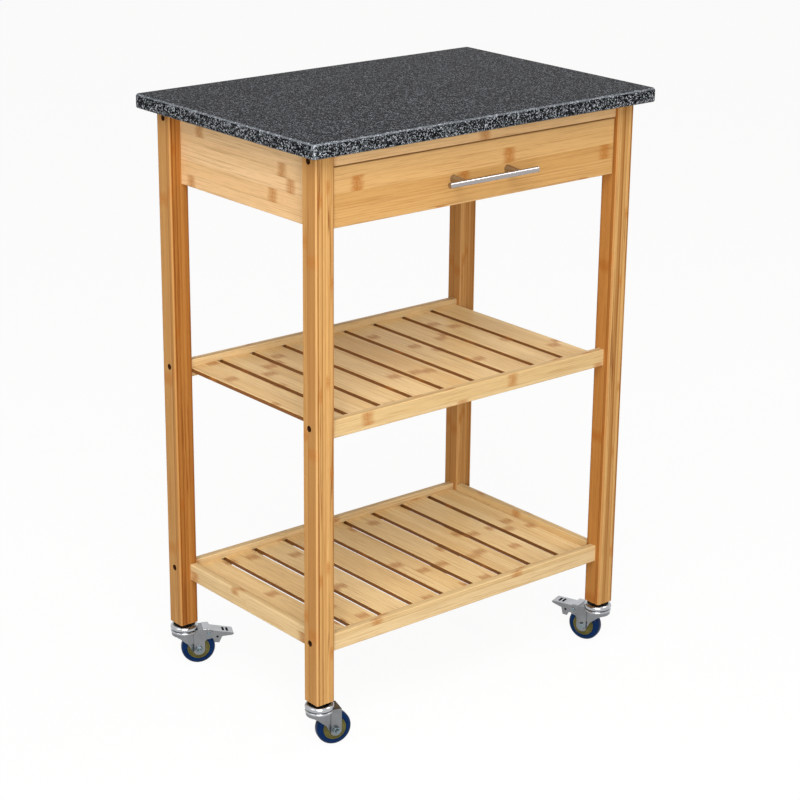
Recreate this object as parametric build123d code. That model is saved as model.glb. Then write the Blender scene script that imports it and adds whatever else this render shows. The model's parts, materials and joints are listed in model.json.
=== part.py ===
from build123d import *
import os
from math import acos, atan2, cos, degrees, hypot, pi, radians, sin

# Kitchen cart: a stone worktop on a bamboo frame, one drawer, two slatted shelves and four swivel casters.
# Millimetres. +Z is up, +X runs along the long side, the drawer opens towards -Y, and the origin is on
# the floor below the middle of the cart.

# Worktop
WORKTOP_WIDTH = 600.0
WORKTOP_DEPTH = 400.0
WORKTOP_THICKNESS = 20.0
WORKTOP_TOP = 850.0
WORKTOP_CORNER = 5.0
WORKTOP_TOP_EDGE = 2.5
WORKTOP_BOTTOM_EDGE = 1.5

# Legs and the frame round the drawer
FRAME_WIDTH = 560.0
FRAME_DEPTH = 356.0
LEG_SIZE = 30.0
LEG_BOTTOM = 68.0
LEG_EDGE = 2.0
RAIL_THICKNESS = 12.0
RAIL_RECESS = 10.0
RAIL_EDGE = 1.0
APRON_HEIGHT = 102.0
SIDE_RECESS = 18.0
TOP_RAIL_HEIGHT = 20.0
TOP_RAIL_DEPTH = 20.0
TOP_RAIL_RECESS = 6.0

# Shelves
SHELF_RAIL_HEIGHT = 25.0
MIDDLE_SHELF_BOTTOM = 444.5
BOTTOM_SHELF_BOTTOM = 137.0
SLAT_COUNT = 9
SLAT_GAP = 9.0
SLAT_THICKNESS = 6.0
SLAT_DROP = 10.0
SLAT_GROOVE = 6.0
SLAT_END_PLAY = 0.25

# Screws into the rails' ends, and the dowels of the glued side frames
SCREW_HEAD_RADIUS = 4.25
SCREW_HEAD_HEIGHT = 4.0
SCREW_HOLE_RADIUS = 4.5
SCREW_HEAD_DEPTH = 10.0
SCREW_RADIUS = 2.5
SCREW_REACH = 30.0
SCREW_FROM_RAIL_TOP = 5.0
DOWEL_RADIUS = 3.0
DOWEL_HALF_LENGTH = 15.0

# Sides of the prisms that repeated round forms are drawn with
WHEEL_SIDES = 32
BAR_SIDES = 32
CORE_SIDES = 20
POST_SIDES = 16
HEAD_SIDES = 10
SMALL_HEAD_SIDES = 8
SHANK_SIDES = 6

# Drawer
DRAWER_FRONT_HEIGHT = 79.0
DRAWER_FRONT_THICKNESS = 15.0
DRAWER_GAP = 1.5
DRAWER_SIDE_GAP = 2.0
DRAWER_FRONT_EDGE = 2.0
DRAWER_WALL = 12.0
DRAWER_BOX_LENGTH = 300.0
DRAWER_BOX_BOTTOM = 737.0
DRAWER_BOX_HEIGHT = 58.0
DRAWER_BACK_RISE = 8.0
DRAWER_PANEL = 4.0
DRAWER_GROOVE = 5.0
DRAWER_DADO = 4.0
DRAWER_PANEL_RISE = 5.0
HANDLE_LENGTH = 156.0
HANDLE_CENTRES = 96.0
HANDLE_RADIUS = 4.0
HANDLE_STANDOFF = 28.0
HANDLE_HEIGHT = 766.0
POST_BASE_RADIUS = 5.5
POST_TIP_RADIUS = 3.6
HANDLE_SCREW_RADIUS = 2.0
HANDLE_SCREW_REACH = 18.0
HANDLE_SCREW_HEAD = 4.0
HANDLE_SCREW_HEAD_HEIGHT = 2.0

# Drawer guides: a strip on each side panel runs in a groove of the drawer's side, and a block above it
# stops the drawer's raised back
GUIDE_DEPTH = 7.7
GUIDE_HEIGHT = 16.0
GUIDE_MIDDLE = 765.0
GUIDE_FRONT = -155.0
GUIDE_LENGTH = 295.0
GUIDE_PLAY = 0.3
GUIDE_SIDE_PLAY = 0.5
GUIDE_SCREWS_Y = (-120.0, 100.0)
STOP_REACH = 24.0
STOP_THICKNESS = 12.0
STOP_HEIGHT = 16.0
STOP_ABOVE_SIDE = 3.0
DRAWER_TRAVEL = 200.0

# Worktop brackets
BRACKET_SIZE = 20.0
BRACKET_WIDTH = 16.0
BRACKET_SHEET = 2.0
BRACKET_SCREW_DROP = 12.0
BRACKET_Y = 95.0

# Small pan-head screws of the brackets and the guides
SMALL_SCREW_RADIUS = 1.75
SMALL_SCREW_REACH = 10.0
SMALL_HEAD_RADIUS = 3.2
SMALL_HEAD_HEIGHT = 1.2

# Casters. Each is drawn with its swivel axis on Z, trailing towards +X.
WHEEL_RADIUS = 25.0
TYRE_WIDTH = 17.0
TYRE_TREAD = 8.0
TYRE_CROWN = 3.2
HUB_RADIUS = 16.5
HUB_WIDTH = 15.0
HUB_BOSS_RADIUS = 8.0
HUB_BOSS_WIDTH = 21.0
CASTER_TRAIL = 19.5
FORK_GAP = 22.0
FORK_SHEET = 1.8
FORK_TOP = 56.0
FORK_BACK = 28.0
FORK_EAR = 40.0
FORK_END_RADIUS = 9.0
FORK_END_STEPS = 8
FORK_CREASE = 12.5
FORK_NECK_ANGLE = 65.0
FORK_KNEE = (3.0, 36.5)
FORK_BROW = (-8.0, 45.5)
SKIRT_RADIUS = 19.0
SKIRT_BOTTOM = 47.5
SKIRT_FRONT = -13.0
SKIRT_STEPS = 15
CAP_RADIUS = 19.5
CAP_BOTTOM = 56.8
CAP_STEP = 61.0
CAP_TOP = 64.0
CAP_RIM = 1.8
CAP_DISH = 15.5
CAP_FLOOR = 60.0
CAP_BOSS = 9.0
STEM_RADIUS = 4.0
STEM_NECK = 6.0
STEM_COLLAR = 8.5
STEM_COLLAR_HEIGHT = 2.4
STEM_HEX = 7.5
STEM_LENGTH = 22.0
SWIVEL_FIT = 0.06
SWIVEL_PLAY = 0.3
INSERT_RADIUS = 6.0
INSERT_LENGTH = 25.0
AXLE_RADIUS = 3.0
AXLE_FIT = 0.05
AXLE_HEAD_RADIUS = 5.6
AXLE_HEAD_HEIGHT = 3.0
NUT_RADIUS = 5.8
NUT_HEIGHT = 5.0
STUD_END = 3.0

# Brake pedal of two casters, seen from the side: x runs back from the swivel axis, z up from the floor.
PIVOT = (34.5, 49.0)
PAD_PIN = (48.5, 45.0)
PEDAL_TIP = 72.0
PEDAL_TOP = 54.0
PEDAL_LIP = 3.5
PEDAL_FLANGE = 41.0
PEDAL_TAB = (44.0, 55.0, 35.5)
PEDAL_SHEET = 1.5
PEDAL_WIDTH = 21.2
PEDAL_SLOTS = (56.0, 62.0)
PEDAL_SLOT_SIZE = (2.2, 12.0)
RIVET_RADIUS = 2.0
RIVET_HEAD = 3.0
RIVET_HEAD_HEIGHT = 1.2
RIVET_FIT = 0.06
PAD_WIDTH = 16.0
PAD_LENGTH = 8.5
PAD_BOTTOM = 38.2
PAD_TOP = 50.0

# Where each caster stands at rest: its leg, the direction that its wheel trails to, and how far its brake
# pedal is pressed, in degrees, or None where it has no brake
PEDAL_TRAVEL = 12.0
CASTERS = {
    "front_left": {"side": -1, "end": -1, "trail": -17.0, "pedal": None},
    "front_right": {"side": 1, "end": -1, "trail": 110.0, "pedal": 0.0},
    "back_left": {"side": -1, "end": 1, "trail": -27.0, "pedal": PEDAL_TRAVEL},
    "back_right": {"side": 1, "end": 1, "trail": 150.0, "pedal": None},
}

# Values that follow from the driving dimensions
FRAME_TOP = WORKTOP_TOP - WORKTOP_THICKNESS
LEG_X = (FRAME_WIDTH - LEG_SIZE) / 2
LEG_Y = (FRAME_DEPTH - LEG_SIZE) / 2
INNER_X = FRAME_WIDTH / 2 - LEG_SIZE
INNER_Y = FRAME_DEPTH / 2 - LEG_SIZE
RAIL_Y = FRAME_DEPTH / 2 - RAIL_RECESS - RAIL_THICKNESS / 2
APRON_BOTTOM = FRAME_TOP - APRON_HEIGHT
SIDE_X = INNER_X + RAIL_THICKNESS / 2
TOP_RAIL_Y = -(FRAME_DEPTH / 2 - TOP_RAIL_RECESS - TOP_RAIL_DEPTH / 2)
TOP_RAIL_MIDDLE = FRAME_TOP - TOP_RAIL_HEIGHT / 2
SLAT_WIDTH = (2 * (INNER_X - SLAT_END_PLAY) - (SLAT_COUNT - 1) * SLAT_GAP) / SLAT_COUNT
SLAT_LENGTH = 2 * (RAIL_Y - RAIL_THICKNESS / 2 + SLAT_GROOVE)
SCREW_HEIGHTS = (
    TOP_RAIL_MIDDLE,
    MIDDLE_SHELF_BOTTOM + SHELF_RAIL_HEIGHT - SCREW_FROM_RAIL_TOP,
    BOTTOM_SHELF_BOTTOM + SHELF_RAIL_HEIGHT - SCREW_FROM_RAIL_TOP,
)
SIDE_DOWELS = (APRON_BOTTOM + 20, APRON_BOTTOM + 70, BOTTOM_SHELF_BOTTOM + 10)
BACK_DOWEL = APRON_BOTTOM + 20
DRAWER_FACE_Y = -(FRAME_DEPTH / 2 - TOP_RAIL_RECESS)
DRAWER_FRONT_BACK_Y = DRAWER_FACE_Y + DRAWER_FRONT_THICKNESS
DRAWER_FRONT_TOP = FRAME_TOP - TOP_RAIL_HEIGHT - DRAWER_GAP
DRAWER_FRONT_WIDTH = 2 * (INNER_X - DRAWER_GAP)
POST_PLACES = (-HANDLE_CENTRES / 2, HANDLE_CENTRES / 2)
POST_LENGTH = HANDLE_STANDOFF - HANDLE_RADIUS / 2
DRAWER_OUTER_X = INNER_X - DRAWER_SIDE_GAP
DRAWER_INNER_X = DRAWER_OUTER_X - DRAWER_WALL
DRAWER_BACK_Y = DRAWER_FRONT_BACK_Y + DRAWER_BOX_LENGTH
DRAWER_PANEL_Z = DRAWER_BOX_BOTTOM + DRAWER_PANEL_RISE
DRAWER_SIDE_TOP = DRAWER_BOX_BOTTOM + DRAWER_BOX_HEIGHT
FORK_HALF = FORK_GAP / 2 + FORK_SHEET


def block(x, y, z):
    """A box from its (low, high) pairs along the three axes."""
    size = (x[1] - x[0], y[1] - y[0], z[1] - z[0])
    return Pos((x[0] + x[1]) / 2, (y[0] + y[1]) / 2, (z[0] + z[1]) / 2) * Box(*size)


def rod(radius, length, sides=None):
    """A rod centred on Z: round, or a prism with that many sides."""
    section = Circle(radius) if sides is None else RegularPolygon(radius, sides)
    return extrude(section, length / 2, both=True)


def rod_z(radius, low, high, sides=None):
    """A rod on Z between two heights."""
    return Pos(0, 0, (low + high) / 2) * rod(radius, high - low, sides)


def cone_z(radius, low, high, end_radius, sides):
    """A many-sided cone on Z, from one radius at its low end to another at its high end."""
    slope = degrees(atan2(radius - end_radius, high - low))
    return Pos(0, 0, low) * extrude(RegularPolygon(radius, sides), high - low, taper=slope)


def rod_x(radius, start, end, y, z, sides=None):
    """A rod along X between two places."""
    return Pos((start + end) / 2, y, z) * Rot(0, 90, 0) * rod(radius, abs(end - start), sides)


def rod_y(radius, x, start, end, z, sides=None):
    """A rod along Y between two places."""
    return Pos(x, (start + end) / 2, z) * Rot(90, 0, 0) * rod(radius, abs(end - start), sides)


def drilled(piece, fasteners):
    """A piece with the holes of the fasteners that it takes."""
    for fastener in fasteners:
        piece -= fastener
    return piece


# Joints of the frame, as tools that the pieces are cut with
def side_dowels(side):
    """The dowels of one glued side frame: two in each end of the apron, one in each end of the low rail."""
    made = []
    for end in (-1, 1):
        y = (end * INNER_Y - DOWEL_HALF_LENGTH, end * INNER_Y + DOWEL_HALF_LENGTH)
        made += [rod_y(DOWEL_RADIUS, side * SIDE_X, *y, z, SHANK_SIDES) for z in SIDE_DOWELS]
    return made


def back_dowels(side):
    """The dowel below the screw at one end of the back panel."""
    x = (side * INNER_X - DOWEL_HALF_LENGTH, side * INNER_X + DOWEL_HALF_LENGTH)
    return [rod_x(DOWEL_RADIUS, *x, RAIL_Y, BACK_DOWEL, SHANK_SIDES)]


def frame_screw(side, end, z):
    """A connector screw from the leg's outer face into a rail's end."""
    outer = side * (FRAME_WIDTH / 2 - SCREW_HEAD_DEPTH)
    seat = outer - side * SCREW_HEAD_HEIGHT
    tip = side * (INNER_X - SCREW_REACH)
    head = rod_x(SCREW_HEAD_RADIUS, outer, seat, end * RAIL_Y, z, HEAD_SIDES)
    return head + rod_x(SCREW_RADIUS, seat, tip, end * RAIL_Y, z, SHANK_SIDES)


def screw_hole(side, end, z):
    """The stepped hole for that screw: wide for the head in the leg, narrow from its seat to the tip."""
    face = side * FRAME_WIDTH / 2
    seat = face - side * (SCREW_HEAD_DEPTH + SCREW_HEAD_HEIGHT)
    tip = side * (INNER_X - SCREW_REACH)
    wide = rod_x(SCREW_HOLE_RADIUS, face, seat, end * RAIL_Y, z, HEAD_SIDES)
    return wide + rod_x(SCREW_RADIUS, seat, tip, end * RAIL_Y, z, SHANK_SIDES)


def small_screw(x, y, z, turn, sheet):
    """A pan-head screw whose head sits at (x, y, z), turned so that it runs through a sheet into the wood."""
    head = rod_z(SMALL_HEAD_RADIUS, 0, SMALL_HEAD_HEIGHT, SMALL_HEAD_SIDES)
    shank = rod_z(SMALL_SCREW_RADIUS, -sheet - SMALL_SCREW_REACH, 0, SHANK_SIDES)
    return Pos(x, y, z) * turn * (head + shank)


def bracket_screws(side):
    """Two screws in each bracket: one into the side panel, one up into the worktop."""
    made = []
    for end in (-1, 1):
        y = end * BRACKET_Y
        face = side * (INNER_X - BRACKET_SHEET)
        across = Rot(0, -90 * side, 0)
        made.append(small_screw(face, y, FRAME_TOP - BRACKET_SCREW_DROP, across, BRACKET_SHEET))
        x = side * (INNER_X - BRACKET_SCREW_DROP)
        made.append(small_screw(x, y, FRAME_TOP - BRACKET_SHEET, Rot(180, 0, 0), BRACKET_SHEET))
    return made


def guide_screws(side):
    """The screws of a drawer guide, with their heads sunk in it."""
    sunk = GUIDE_DEPTH - SMALL_HEAD_HEIGHT
    across = Rot(0, -90 * side, 0)
    x = side * (INNER_X - sunk)
    return [small_screw(x, y, GUIDE_MIDDLE, across, sunk) for y in GUIDE_SCREWS_Y]


def worktop():
    slab = block(
        (-WORKTOP_WIDTH / 2, WORKTOP_WIDTH / 2),
        (-WORKTOP_DEPTH / 2, WORKTOP_DEPTH / 2),
        (FRAME_TOP, WORKTOP_TOP),
    )
    slab = fillet(slab.edges().filter_by(Axis.Z), WORKTOP_CORNER)
    slab = chamfer(slab.faces().sort_by(Axis.Z)[-1].edges(), WORKTOP_TOP_EDGE)
    slab = chamfer(slab.faces().sort_by(Axis.Z)[0].edges(), WORKTOP_BOTTOM_EDGE)
    return drilled(slab, bracket_screws(-1) + bracket_screws(1))


def leg(side, end):
    post = block(
        (side * LEG_X - LEG_SIZE / 2, side * LEG_X + LEG_SIZE / 2),
        (end * LEG_Y - LEG_SIZE / 2, end * LEG_Y + LEG_SIZE / 2),
        (LEG_BOTTOM, FRAME_TOP),
    )
    post = chamfer(post.edges().filter_by(Axis.Z), LEG_EDGE)
    holes = [screw_hole(side, end, z) for z in SCREW_HEIGHTS] + side_dowels(side)
    if end > 0:
        holes += back_dowels(side)
    socket = Pos(side * LEG_X, end * LEG_Y, LEG_BOTTOM + INSERT_LENGTH / 2)
    holes.append(socket * rod(INSERT_RADIUS, INSERT_LENGTH, HEAD_SIDES))
    return drilled(post, holes)


def side_apron(side):
    panel = block(
        (side * SIDE_X - RAIL_THICKNESS / 2, side * SIDE_X + RAIL_THICKNESS / 2),
        (-INNER_Y, INNER_Y),
        (APRON_BOTTOM, FRAME_TOP),
    )
    panel = chamfer(panel.faces().sort_by(Axis.Z)[0].edges().filter_by(Axis.Y), RAIL_EDGE)
    return drilled(panel, side_dowels(side) + bracket_screws(side) + guide_screws(side))


def back_apron():
    panel = block(
        (-INNER_X, INNER_X),
        (RAIL_Y - RAIL_THICKNESS / 2, RAIL_Y + RAIL_THICKNESS / 2),
        (APRON_BOTTOM, FRAME_TOP),
    )
    panel = chamfer(panel.faces().sort_by(Axis.Z)[0].edges().filter_by(Axis.X), RAIL_EDGE)
    for side in (-1, 1):
        panel = drilled(panel, [screw_hole(side, 1, TOP_RAIL_MIDDLE)] + back_dowels(side))
    return panel


def front_top_rail():
    rail = block(
        (-INNER_X, INNER_X),
        (TOP_RAIL_Y - TOP_RAIL_DEPTH / 2, TOP_RAIL_Y + TOP_RAIL_DEPTH / 2),
        (FRAME_TOP - TOP_RAIL_HEIGHT, FRAME_TOP),
    )
    rail = chamfer(rail.faces().sort_by(Axis.Z)[0].edges().filter_by(Axis.X), RAIL_EDGE)
    return drilled(rail, [screw_hole(side, -1, TOP_RAIL_MIDDLE) for side in (-1, 1)])


def slat_bottom(shelf_bottom):
    """The underside of a shelf's slats, which lie let into the rails, below their top edges."""
    return shelf_bottom + SHELF_RAIL_HEIGHT - SLAT_DROP - SLAT_THICKNESS


def shelf_rail(end, shelf_bottom):
    """A front or back shelf rail, with the groove that takes the slats' ends."""
    rail = block(
        (-INNER_X, INNER_X),
        (end * RAIL_Y - RAIL_THICKNESS / 2, end * RAIL_Y + RAIL_THICKNESS / 2),
        (shelf_bottom, shelf_bottom + SHELF_RAIL_HEIGHT),
    )
    rail = chamfer(rail.edges().filter_by(Axis.X), RAIL_EDGE)
    inner = end * (RAIL_Y - RAIL_THICKNESS / 2)
    deep = inner + end * SLAT_GROOVE
    low = slat_bottom(shelf_bottom)
    rail -= block((-INNER_X, INNER_X), sorted((inner, deep)), (low, low + SLAT_THICKNESS))
    screw_z = shelf_bottom + SHELF_RAIL_HEIGHT - SCREW_FROM_RAIL_TOP
    return drilled(rail, [screw_hole(side, end, screw_z) for side in (-1, 1)])


def side_rail(side, shelf_bottom):
    """A side rail of the bottom shelf, between the legs."""
    rail = block(
        (side * SIDE_X - RAIL_THICKNESS / 2, side * SIDE_X + RAIL_THICKNESS / 2),
        (-INNER_Y, INNER_Y),
        (shelf_bottom, shelf_bottom + SHELF_RAIL_HEIGHT),
    )
    rail = chamfer(rail.edges().filter_by(Axis.Y), RAIL_EDGE)
    return drilled(rail, side_dowels(side))


def slats(shelf_bottom):
    """The slats of one shelf, evenly spaced along X and running from front to back."""
    low = slat_bottom(shelf_bottom)
    pitch = SLAT_WIDTH + SLAT_GAP
    made = []
    for k in range(SLAT_COUNT):
        x = (k - (SLAT_COUNT - 1) / 2) * pitch
        slat = block(
            (x - SLAT_WIDTH / 2, x + SLAT_WIDTH / 2),
            (-SLAT_LENGTH / 2, SLAT_LENGTH / 2),
            (low, low + SLAT_THICKNESS),
        )
        made.append(chamfer(slat.faces().sort_by(Axis.Z)[-1].edges().filter_by(Axis.Y), RAIL_EDGE / 2))
    return made


def brackets():
    """Four angles that hold the worktop down to the side panels."""
    made = []
    for side in (-1, 1):
        for end in (-1, 1):
            face = side * INNER_X
            y = (end * BRACKET_Y - BRACKET_WIDTH / 2, end * BRACKET_Y + BRACKET_WIDTH / 2)
            upright = block(
                sorted((face, face - side * BRACKET_SHEET)), y, (FRAME_TOP - BRACKET_SIZE, FRAME_TOP)
            )
            flat = block(
                sorted((face, face - side * BRACKET_SIZE)), y, (FRAME_TOP - BRACKET_SHEET, FRAME_TOP)
            )
            made.append(drilled(upright + flat, bracket_screws(side)))
    return made


def guide(side):
    """The strip on a side panel that the drawer runs on."""
    strip = block(
        sorted((side * INNER_X, side * (INNER_X - GUIDE_DEPTH))),
        (GUIDE_FRONT, GUIDE_FRONT + GUIDE_LENGTH),
        (GUIDE_MIDDLE - GUIDE_HEIGHT / 2, GUIDE_MIDDLE + GUIDE_HEIGHT / 2),
    )
    strip = chamfer(strip.faces().filter_by(Axis.Y).edges().filter_by(Axis.Z), RAIL_EDGE)
    return drilled(strip, guide_screws(side))


def drawer_stop(side):
    """The block on a side panel that stops the drawer's raised back at the end of its travel."""
    back = DRAWER_BACK_Y - DRAWER_WALL - DRAWER_TRAVEL - GUIDE_PLAY
    low = DRAWER_SIDE_TOP + STOP_ABOVE_SIDE
    return block(
        sorted((side * INNER_X, side * (INNER_X - STOP_REACH))),
        (back - STOP_THICKNESS, back),
        (low, low + STOP_HEIGHT),
    )


def drawer_front():
    panel = block(
        (-DRAWER_FRONT_WIDTH / 2, DRAWER_FRONT_WIDTH / 2),
        (DRAWER_FACE_Y, DRAWER_FRONT_BACK_Y),
        (DRAWER_FRONT_TOP - DRAWER_FRONT_HEIGHT, DRAWER_FRONT_TOP),
    )
    panel = fillet(panel.faces().sort_by(Axis.Y)[0].edges(), DRAWER_FRONT_EDGE)
    panel -= block(
        (-DRAWER_INNER_X - DRAWER_GROOVE, DRAWER_INNER_X + DRAWER_GROOVE),
        (DRAWER_FRONT_BACK_Y - DRAWER_GROOVE, DRAWER_FRONT_BACK_Y),
        (DRAWER_PANEL_Z, DRAWER_PANEL_Z + DRAWER_PANEL),
    )
    for side in (-1, 1):
        panel -= block(
            sorted((side * DRAWER_INNER_X, side * DRAWER_OUTER_X)),
            (DRAWER_FRONT_BACK_Y - DRAWER_DADO, DRAWER_FRONT_BACK_Y),
            (DRAWER_BOX_BOTTOM, DRAWER_SIDE_TOP),
        )
    return drilled(panel, handle_screws())


def drawer_side(side):
    """A side of the drawer, let into the front, with grooves for its bottom, its back and the guide."""
    inner, outer = side * DRAWER_INNER_X, side * DRAWER_OUTER_X
    wall = block(
        sorted((inner, outer)),
        (DRAWER_FRONT_BACK_Y - DRAWER_DADO, DRAWER_BACK_Y),
        (DRAWER_BOX_BOTTOM, DRAWER_SIDE_TOP),
    )
    wall -= block(
        sorted((inner, inner + side * DRAWER_GROOVE)),
        (DRAWER_FRONT_BACK_Y - DRAWER_GROOVE, DRAWER_BACK_Y),
        (DRAWER_PANEL_Z, DRAWER_PANEL_Z + DRAWER_PANEL),
    )
    wall -= block(
        sorted((inner, inner + side * DRAWER_DADO)),
        (DRAWER_BACK_Y - DRAWER_WALL, DRAWER_BACK_Y),
        (DRAWER_PANEL_Z + DRAWER_PANEL, DRAWER_SIDE_TOP),
    )
    half_groove = GUIDE_HEIGHT / 2 + GUIDE_PLAY
    return wall - block(
        sorted((outer, side * (INNER_X - GUIDE_DEPTH - GUIDE_SIDE_PLAY))),
        (DRAWER_FRONT_BACK_Y, DRAWER_BACK_Y),
        (GUIDE_MIDDLE - half_groove, GUIDE_MIDDLE + half_groove),
    )


def drawer_back():
    """The drawer's back, which stands above its sides to meet the stops."""
    return block(
        (-DRAWER_INNER_X - DRAWER_DADO, DRAWER_INNER_X + DRAWER_DADO),
        (DRAWER_BACK_Y - DRAWER_WALL, DRAWER_BACK_Y),
        (DRAWER_PANEL_Z + DRAWER_PANEL, DRAWER_SIDE_TOP + DRAWER_BACK_RISE),
    )


def drawer_bottom():
    return block(
        (-DRAWER_INNER_X - DRAWER_GROOVE, DRAWER_INNER_X + DRAWER_GROOVE),
        (DRAWER_FRONT_BACK_Y - DRAWER_GROOVE, DRAWER_BACK_Y),
        (DRAWER_PANEL_Z, DRAWER_PANEL_Z + DRAWER_PANEL),
    )


def handle_bar():
    y = DRAWER_FACE_Y - HANDLE_STANDOFF
    bar = rod_x(HANDLE_RADIUS, -HANDLE_LENGTH / 2, HANDLE_LENGTH / 2, y, HANDLE_HEIGHT, BAR_SIDES)
    return drilled(bar, [post_outside(x) for x in POST_PLACES])


def post_outside(x):
    """A handle post: it tapers from the drawer front and ends in the bar."""
    post = cone_z(POST_BASE_RADIUS, 0, POST_LENGTH, POST_TIP_RADIUS, POST_SIDES)
    return Pos(x, DRAWER_FACE_Y, HANDLE_HEIGHT) * Rot(90, 0, 0) * post


def handle_posts():
    return [drilled(post_outside(x), handle_screws()) for x in POST_PLACES]


def handle_screws():
    """The screws that hold the posts from inside the drawer."""
    made = []
    for x in POST_PLACES:
        tip = DRAWER_FACE_Y - HANDLE_SCREW_REACH
        head_end = DRAWER_FRONT_BACK_Y + HANDLE_SCREW_HEAD_HEIGHT
        shank = rod_y(HANDLE_SCREW_RADIUS, x, tip, DRAWER_FRONT_BACK_Y, HANDLE_HEIGHT, SHANK_SIDES)
        head = rod_y(HANDLE_SCREW_HEAD, x, DRAWER_FRONT_BACK_Y, head_end, HANDLE_HEIGHT, HEAD_SIDES)
        made.append(shank + head)
    return made


# Casters
def under_leg(shape, spec):
    """Moves a fixed caster piece from its own axes to its leg."""
    return Pos(spec["side"] * LEG_X, spec["end"] * LEG_Y, 0) * shape


def place(shape, spec):
    """Turns a swivelling caster piece about its axis to where it trails at rest, under its leg."""
    return under_leg(Rot(0, 0, spec["trail"]) * shape, spec)


def along_axle(radius, start, end, sides=None):
    """A rod on the wheel's axle line."""
    return rod_y(radius, CASTER_TRAIL, start, end, WHEEL_RADIUS, sides)


def on_axle(shape):
    """Lays a shape that was turned on Z along the wheel's axle line."""
    return Pos(CASTER_TRAIL, 0, WHEEL_RADIUS) * Rot(90, 0, 0) * shape


def around(radius, sides):
    """The corner radius of a many-sided hole that has room for a round pin of a given radius."""
    return radius / cos(pi / sides)


def arc_points(centre, radius, start, end, steps):
    """Points on an arc, from one angle to another in degrees."""
    angles = [radians(start + (end - start) * k / steps) for k in range(steps + 1)]
    return [(centre[0] + radius * cos(a), centre[1] + radius * sin(a)) for a in angles]


def touch_angle(start, centre, radius):
    """The angle, seen from a circle's centre, at which a line from start touches its lower side."""
    x, y = start[0] - centre[0], start[1] - centre[1]
    return degrees(atan2(y, x) + acos(radius / hypot(x, y)))


def fork_outline(half_width, round_radius, back):
    """The fork from above: round over the swivel, then drawn in to two flat cheeks."""
    skirt = arc_points((0, 0), round_radius, FORK_NECK_ANGLE, 360 - FORK_NECK_ANGLE, SKIRT_STEPS)
    cheeks = [(FORK_CREASE, -half_width), (back, -half_width), (back, half_width), (FORK_CREASE, half_width)]
    return make_face(Polyline(*skirt, *cheeks, close=True))


def cheek_silhouette(braked):
    """The fork from the side: the skirt's edge, a slope down to the axle's round end, and the back."""
    front_x = -SKIRT_RADIUS - 1
    skirt = [(front_x, FORK_TOP), (front_x, SKIRT_BOTTOM), (SKIRT_FRONT, SKIRT_BOTTOM), FORK_BROW, FORK_KNEE]
    axle = (CASTER_TRAIL, WHEEL_RADIUS)
    start = touch_angle(FORK_KNEE, axle, FORK_END_RADIUS)
    end = arc_points(axle, FORK_END_RADIUS, start, 360, FORK_END_STEPS)
    back_x = CASTER_TRAIL + FORK_END_RADIUS
    if braked:
        ear_bottom = PIVOT[1] - FORK_END_RADIUS
        back = [
            (back_x, ear_bottom - 3),
            (back_x + 2.5, ear_bottom),
            (FORK_EAR - 3.5, ear_bottom + 0.5),
            (FORK_EAR, PIVOT[1] - 4.5),
            (FORK_EAR, PIVOT[1] + 2.5),
            (PIVOT[0], FORK_TOP),
        ]
    else:
        back = [(back_x, FORK_TOP)]
    return Plane.XZ * make_face(Polyline(*skirt, *end, *back, close=True))


def fork(braked):
    """The stamped fork: a crown with a round skirt under the cap, and a cheek on each side of the wheel."""
    back = FORK_EAR if braked else FORK_BACK
    outside = extrude(fork_outline(FORK_HALF, SKIRT_RADIUS, back), FORK_TOP)
    inside = extrude(fork_outline(FORK_GAP / 2, SKIRT_RADIUS - FORK_SHEET, back + 1), FORK_TOP - FORK_SHEET)
    silhouette = extrude(cheek_silhouette(braked), SKIRT_RADIUS + 1, both=True)
    shell = (outside - inside) & silhouette
    if braked:
        shell -= block((FORK_BACK, FORK_EAR), (-FORK_GAP / 2, FORK_GAP / 2), (0, FORK_TOP))
    shell -= rod_z(around(STEM_NECK + SWIVEL_FIT, CORE_SIDES), SKIRT_BOTTOM, FORK_TOP, CORE_SIDES)
    shell -= along_axle(AXLE_RADIUS, -FORK_HALF, FORK_HALF, SHANK_SIDES)
    if braked:
        shell -= rod_y(RIVET_RADIUS, PIVOT[0], -FORK_HALF, FORK_HALF, PIVOT[1], SHANK_SIDES)
    return shell


def caster_stem():
    """The swivel pin: a collar under the crown, a round neck that the fork turns on, flats in the cap, a
    hexagon and the stem."""
    collar_top = FORK_TOP - FORK_SHEET - SWIVEL_PLAY
    neck_top = FORK_TOP + SWIVEL_PLAY
    collar = rod_z(STEM_COLLAR, collar_top - STEM_COLLAR_HEIGHT, collar_top, HEAD_SIDES)
    neck = rod_z(STEM_NECK, collar_top, neck_top)
    flats = rod_z(STEM_NECK, neck_top, CAP_TOP, SHANK_SIDES)
    hexagon = rod_z(STEM_HEX, CAP_TOP, LEG_BOTTOM, SHANK_SIDES)
    stem = rod_z(STEM_RADIUS, LEG_BOTTOM, LEG_BOTTOM + STEM_LENGTH, SHANK_SIDES)
    return collar + neck + flats + hexagon + stem


def race_cap():
    """The upper race: a dished cap with a rolled rim, fast on the stem's flats."""
    rim = rod_z(CAP_RADIUS, CAP_BOTTOM, CAP_STEP, WHEEL_SIDES)
    rim += cone_z(CAP_RADIUS, CAP_STEP, CAP_TOP, CAP_RADIUS - CAP_RIM, WHEEL_SIDES)
    rim -= rod_z(CAP_DISH, CAP_FLOOR, CAP_TOP, CORE_SIDES)
    boss = rod_z(CAP_BOSS, CAP_FLOOR, CAP_TOP, HEAD_SIDES)
    return rim + boss - rod_z(STEM_NECK, CAP_BOTTOM, CAP_TOP, SHANK_SIDES)


def leg_insert():
    """The threaded sleeve in the leg's foot."""
    ends = (LEG_BOTTOM, LEG_BOTTOM + INSERT_LENGTH)
    return rod_z(INSERT_RADIUS, *ends, HEAD_SIDES) - rod_z(STEM_RADIUS, *ends, SHANK_SIDES)


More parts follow.
